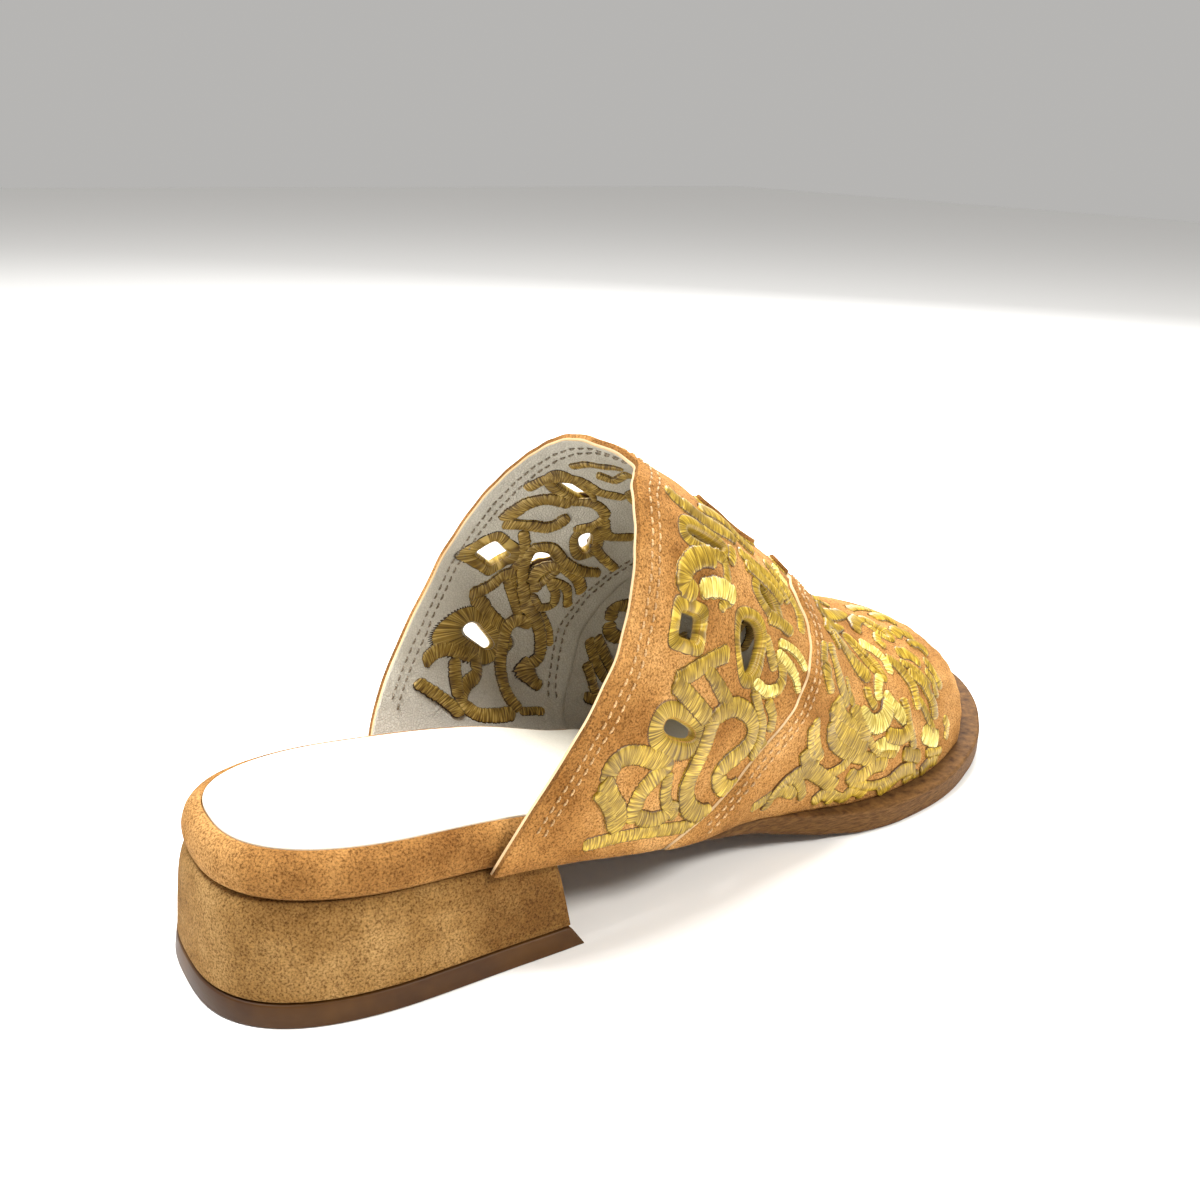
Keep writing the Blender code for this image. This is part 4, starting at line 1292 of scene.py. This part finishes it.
def add_band(work, width, points, side, face, slot, layer, rng):
    """Satin-stitch band on one face, each thread a small ridge across it."""
    chart = [(along, around if side < 0 else 1.0 - around) for along, around in points]
    path, length = spline(chart, 0.5 * THREAD_STEP)
    station, around = path[:, 0], np.clip(path[:, 1], *PATH_LIMITS)
    count = len(station)
    world = lining(station, around)
    forward = np.gradient(world, axis=0)
    direction = unit(forward)
    swing = np.gradient(direction, axis=0)
    bend = np.linalg.norm(swing, axis=1) / np.maximum(np.gradient(length), 1e-9)
    turn = np.cross(direction, swing)
    sign = np.sign(np.sum(turn * lining_normal(station, around), -1))
    v, dome = band_profile()
    to_tip = np.minimum(length, length[-1] - length)
    taper = np.clip(to_tip / (BAND_TIP * width) + BAND_TIP, 0.0, 1.0) ** BAND_TIP_CURVE
    thread = np.arange(count) % 2
    jag = 1.0 + BAND_JAG * (thread - 0.5) + BAND_JAG * rng.standard_normal(count)
    half = 0.5 * width * taper * jag
    reach = half[:, None] * v[None, :]
    limit = (BEND_LIMIT / np.maximum(bend, 1.0))[:, None]
    tight = sign[:, None] * reach > 0
    reach = np.where(tight, np.sign(reach) * np.minimum(np.abs(reach), limit), reach)
    slant = BAND_SLANT * rng.standard_normal() * reach
    grid = (count, len(v))
    s = np.broadcast_to(station[:, None], grid)
    a = np.broadcast_to(around[:, None], grid)
    f = np.broadcast_to(forward[:, None, :], grid + (3,))
    s, a = surface_step(s, a, slant, reach, f)
    a = np.clip(a, *FOOT_LIMITS)
    low = BAND_FOOT * BAND_HEIGHT + BAND_LAYER * layer
    height = low + (BAND_HEIGHT * taper[:, None] - THREAD_GROOVE * (1 - thread[:, None])) * dome[None, :]
    top = face(s, a, height)
    under = face(s[:, [-1, 0]], a[:, [-1, 0]], np.full((count, 2), -BAND_SEAT))
    rows = np.concatenate([top, under], 1)
    u = np.repeat(length[:, None] + rng.random(), len(v) + 2, 1)
    # The underside takes the dark edge colour, painted shadow
    w = np.concatenate([np.broadcast_to(v, grid), np.full((count, 2), 1.05)], 1)
    work.tube(rows, np.stack([u, w], -1), np.full(len(v) + 2, slot), False)


def add_border(work, row, side, outer_face, inner_face, rng):
    """Threads wrapped round the edge of a hole, over both faces."""
    hole = dict(zip(HOLE_COLUMNS, row))
    border = hole["border"]
    perimeter = 2.2 * BALL_WIDTH * (hole["length"] + hole["width"]) + 4.0 * border
    steps = 2 * int(perimeter / THREAD_STEP)
    growths = border * np.array(BORDER_GROWTHS)
    heights = np.array(BORDER_HEIGHTS) * BAND_HEIGHT
    thread = np.arange(steps) % 2
    wobble = BORDER_WOBBLE * rng.standard_normal(steps)
    ragged = wobble + BORDER_JAG * thread
    rings = []
    for growth, height in zip(growths, heights):
        s, a = hole_outline(row, side, growth, steps)
        edge = growth / border
        if edge > 0.8:
            s2, a2 = hole_outline(row, side, growth * 1.12, steps)
            s = s + (s2 - s) * ragged * edge
            a = a + (a2 - a) * ragged * edge
        rings.append((s, np.clip(a, *FOOT_LIMITS), height - THREAD_GROOVE * (1 - thread)))
    wall = hole_outline(row, side, -BORDER_OVERHANG, steps)
    outside = [outer_face(s, a, h) for s, a, h in rings]
    inside = [inner_face(s, a, h) for s, a, h in rings]
    sunk = np.full(steps, -BORDER_SINK)
    seat = np.full(steps, -BAND_SEAT)
    middle = [face(*wall, sunk) for face in (outer_face, inner_face)]
    back = [face(*rings[0][:2], seat) for face in (inner_face, outer_face)]
    loop = np.stack(outside + middle + inside[::-1] + back, 1)
    count = loop.shape[1]
    turn = np.linspace(0.0, perimeter, steps) + rng.random()
    # The border's back takes the dark edge colour, painted shadow
    across = np.concatenate([np.linspace(-1.0, 1.0, count - 2), [1.05, 1.05]])
    uvs = np.stack(np.broadcast_arrays(turn[:, None], across[None, :]), -1)
    slots = np.array([0] * (len(outside) + 1) + [1] * (len(inside) + 1) + [1, 0])[:count]
    work.tube(loop, uvs, slots, True)


def chart_rows(rows):
    """A chart's bands as widths in metres and points in shares."""
    return [(width / WIDTHS_PER_METRE, [(a / POINTS_PER_SHARE, u / POINTS_PER_SHARE) for a, u in points])
            for width, *points in rows]


def embroider(name, charts, holes, outer_face, inner_face, seed):
    """All the needlework of one panel, one object for each side of the shoe."""
    rng = np.random.default_rng(seed)
    sides = ((-1, "outer", charts[0]), (1, "inner", charts[1]))
    for (side, place_name, bands), spread_out in zip(sides, BAND_SPREAD[name]):
        work = Needlework()
        for index, (chart_width, points) in enumerate(chart_rows(bands)):
            width = chart_width * spread_out
            # Listed bands take the pale thread, a painted highlight
            outer_thread_slot = 2 if index in PAINTED_HIGHLIGHT_BANDS[name] else 0
            layer = index % BAND_LAYERS
            add_band(work, width, points, side, outer_face, outer_thread_slot, layer, rng)
            # Inner-face bands take the inside thread, painted darker as shade
            add_band(work, width, points, side, inner_face, 1, layer, rng)
        for row in holes:
            add_border(work, row, side, outer_face, inner_face, rng)
        work.build(name + "_" + place_name)


def add_lips(rows):
    """Lips that stand up round the slots on the ridge, in the darker suede that paints the shade on their
    walls.
    """
    work = Needlework()
    steps = 96
    angles = 2 * math.pi * np.arange(10) / 10
    for row in rows:
        for side in (-1, 1):
            loops = []
            for angle in angles:
                s, a = hole_outline(row, side, LIP_RADIUS * (1.0 + math.cos(angle)), steps)
                loops.append(collar_outer(s, a, LIP_RISE + LIP_HEIGHT * math.sin(angle)))
            loop = np.stack(loops, 1)
            work.tube(loop, np.zeros((steps, len(angles), 2)), np.zeros(len(angles), int), True)
    obj = piece("ridge_slot_lips", np.concatenate(work.points), work.faces, slot="upper_suede")
    give(obj, "raw_and_shaded_suede")
    make_outward(obj)


# Seams

def add_stitch(points, faces, uvs, start, end, normal, radius):
    """One stitch: a short rounded bar sunk at both ends."""
    direction = unit(end - start)
    side = np.cross(normal, direction)
    base = len(points)
    n = STITCH_SIDES
    for share, rise, size in STITCH_PROFILE:
        centre = start + (end - start) * share + normal * radius * rise
        for k in range(n):
            angle = 2 * math.pi * k / n
            points.append(centre + radius * size * (side * math.cos(angle) + normal * math.sin(angle)))
            uvs.append((share * 0.002, 0.5 * math.cos(angle)))
    for first in range(base, base + n * (len(STITCH_PROFILE) - 1), n):
        for k in range(n):
            m = (k + 1) % n
            faces.append((first + k, first + m, first + n + m, first + n + k))
    faces.append(tuple(range(base + n - 1, base - 1, -1)))
    end_ring = base + n * (len(STITCH_PROFILE) - 1)
    faces.append(tuple(range(end_ring, end_ring + n)))


def beside(edge, around, distance):
    """Path on the surface at a distance ahead of an edge."""
    station = edge(around)
    forward = np.gradient(lining(station, around), axis=0)
    return surface_step(station, around, np.zeros_like(around), np.full_like(around, -distance), forward)


def stitch_row(name, edge, distance, face, material, low=0.02, high=0.98):
    """A row of stitches at a distance ahead of an edge."""
    stations, arounds = beside(edge, np.linspace(low, high, 900), distance)
    path = face(stations, arounds, np.zeros_like(arounds))
    length = path_lengths(path)
    points, faces, uvs = [], [], []
    for k in range(int(length[-1] / STITCH_PITCH)):
        ends = np.array((k * STITCH_PITCH, k * STITCH_PITCH + STITCH_LENGTH))
        around = np.interp(ends, length, arounds)
        station = np.interp(ends, length, stations)
        pair = face(station, around, np.zeros(2))
        lifted = face(station, around, np.full(2, 0.001))
        add_stitch(points, faces, uvs, pair[0], pair[1], unit(lifted[0] - pair[0]), STITCH_RADIUS)
    obj = piece(name, points, faces, slot="upper_suede", uvs=uvs)
    give(obj, material)
    make_outward(obj)


# Camera, floor and light

def plain_tones():
    """Keeps the photograph's own tones, with no film curve."""
    bpy.context.scene.view_settings.view_transform = "Standard"
    bpy.context.scene.view_settings.look = "None"


def make_camera():
    """Camera at the photograph's angle."""
    data = bpy.data.cameras.new("photo_camera")
    data.sensor_width = SENSOR
    data.lens = FOCAL_PIXELS * SENSOR / PHOTO_SIDE
    data.clip_start = 0.01
    camera = bpy.data.objects.new("photo_camera", data)
    bpy.context.scene.collection.objects.link(camera)
    axes = [axis.normalized() for axis in (CAMERA_RIGHT, CAMERA_UP, CAMERA_BACK)]
    rotation = Matrix(axes).transposed()
    camera.matrix_world = Matrix.Translation(CAMERA_EYE + Vector(MOVE)) @ rotation.to_4x4()
    bpy.context.scene.camera = camera


def make_floor():
    """Plain pale floor."""
    mesh = bpy.data.meshes.new("floor")
    side = FLOOR_REACH
    corners = [(-side, -side, 0), (side, -side, 0), (side, side, 0), (-side, side, 0)]
    mesh.from_pydata(corners, [], [(0, 1, 2, 3)])
    floor = bpy.data.objects.new("floor", mesh)
    bpy.context.scene.collection.objects.link(floor)
    material = Nodes("floor_white").finish((0.92, 0.915, 0.90), 0.6, specular=0.2)
    mesh.materials.append(material)


def add_light(name, place_at, target, size, power, colour):
    """Soft area light that looks at a target."""
    data = bpy.data.lights.new(name, "AREA")
    data.shape = "DISK"
    data.size = size
    data.energy = power
    data.color = colour
    light = bpy.data.objects.new(name, data)
    light.location = place_at
    light.rotation_euler = (Vector(target) - Vector(place_at)).to_track_quat("-Z", "Y").to_euler()
    bpy.context.scene.collection.objects.link(light)


def make_lights():
    """Bright soft studio light from above and the camera's right."""
    world = bpy.data.worlds.new("studio")
    world.use_nodes = True
    background = world.node_tree.nodes["Background"]
    background.inputs["Color"].default_value = WORLD_COLOUR
    background.inputs["Strength"].default_value = WORLD_STRENGTH
    bpy.context.scene.world = world
    for light in LIGHTS:
        add_light(*light)


plain_tones()
make_camera()
make_floor()
make_lights()
make_outsole()
make_heel_block()
make_top_piece()
make_footbed()
make_sock_lining()
step_rows = int(PANEL_REACH / GRID)
panel("upper_collar_panel", collar_outer, collar_inner,
      (lambda a: lap_station(a) - LAP_HELD_BACK, lambda a: seam_station(a) + SEAM_STEP, seam_station,
       collar_station),
      (7, 1, step_rows), COLLAR_HOLES, (3, 2))
panel("upper_toe_panel", toe_outer, toe_inner,
      (toe_station, lambda a: lap_station(a) + SETTLE_LENGTH, lap_station, seam_station),
      (step_rows, 12, 8), TOE_HOLES, (2, 2))
embroider("collar_needlework", (COLLAR_OUTER_BANDS, COLLAR_INNER_BANDS), COLLAR_HOLES,
          collar_outer, collar_inner, 5)
embroider("toe_needlework", (TOE_OUTER_BANDS, TOE_INNER_BANDS), TOE_HOLES, toe_outer, toe_inner, 9)
add_lips(HOLES[5:7])
for index, distance in enumerate(COLLAR_STITCH_ROWS):
    stitch_row("collar_stitches_outside_%d" % index, collar_station, distance, collar_outer, "seam_thread")
    stitch_row("collar_stitches_inside_%d" % index, collar_station, distance, collar_inner, "lining_thread")
for index, distance in enumerate(SEAM_STITCH_ROWS):
    stitch_row("seam_stitches_outside_%d" % index, seam_station, distance, toe_outer, "seam_thread",
               0.012, 0.988)
    stitch_row("seam_stitches_inside_%d" % index, seam_station, distance, collar_inner, "lining_thread")
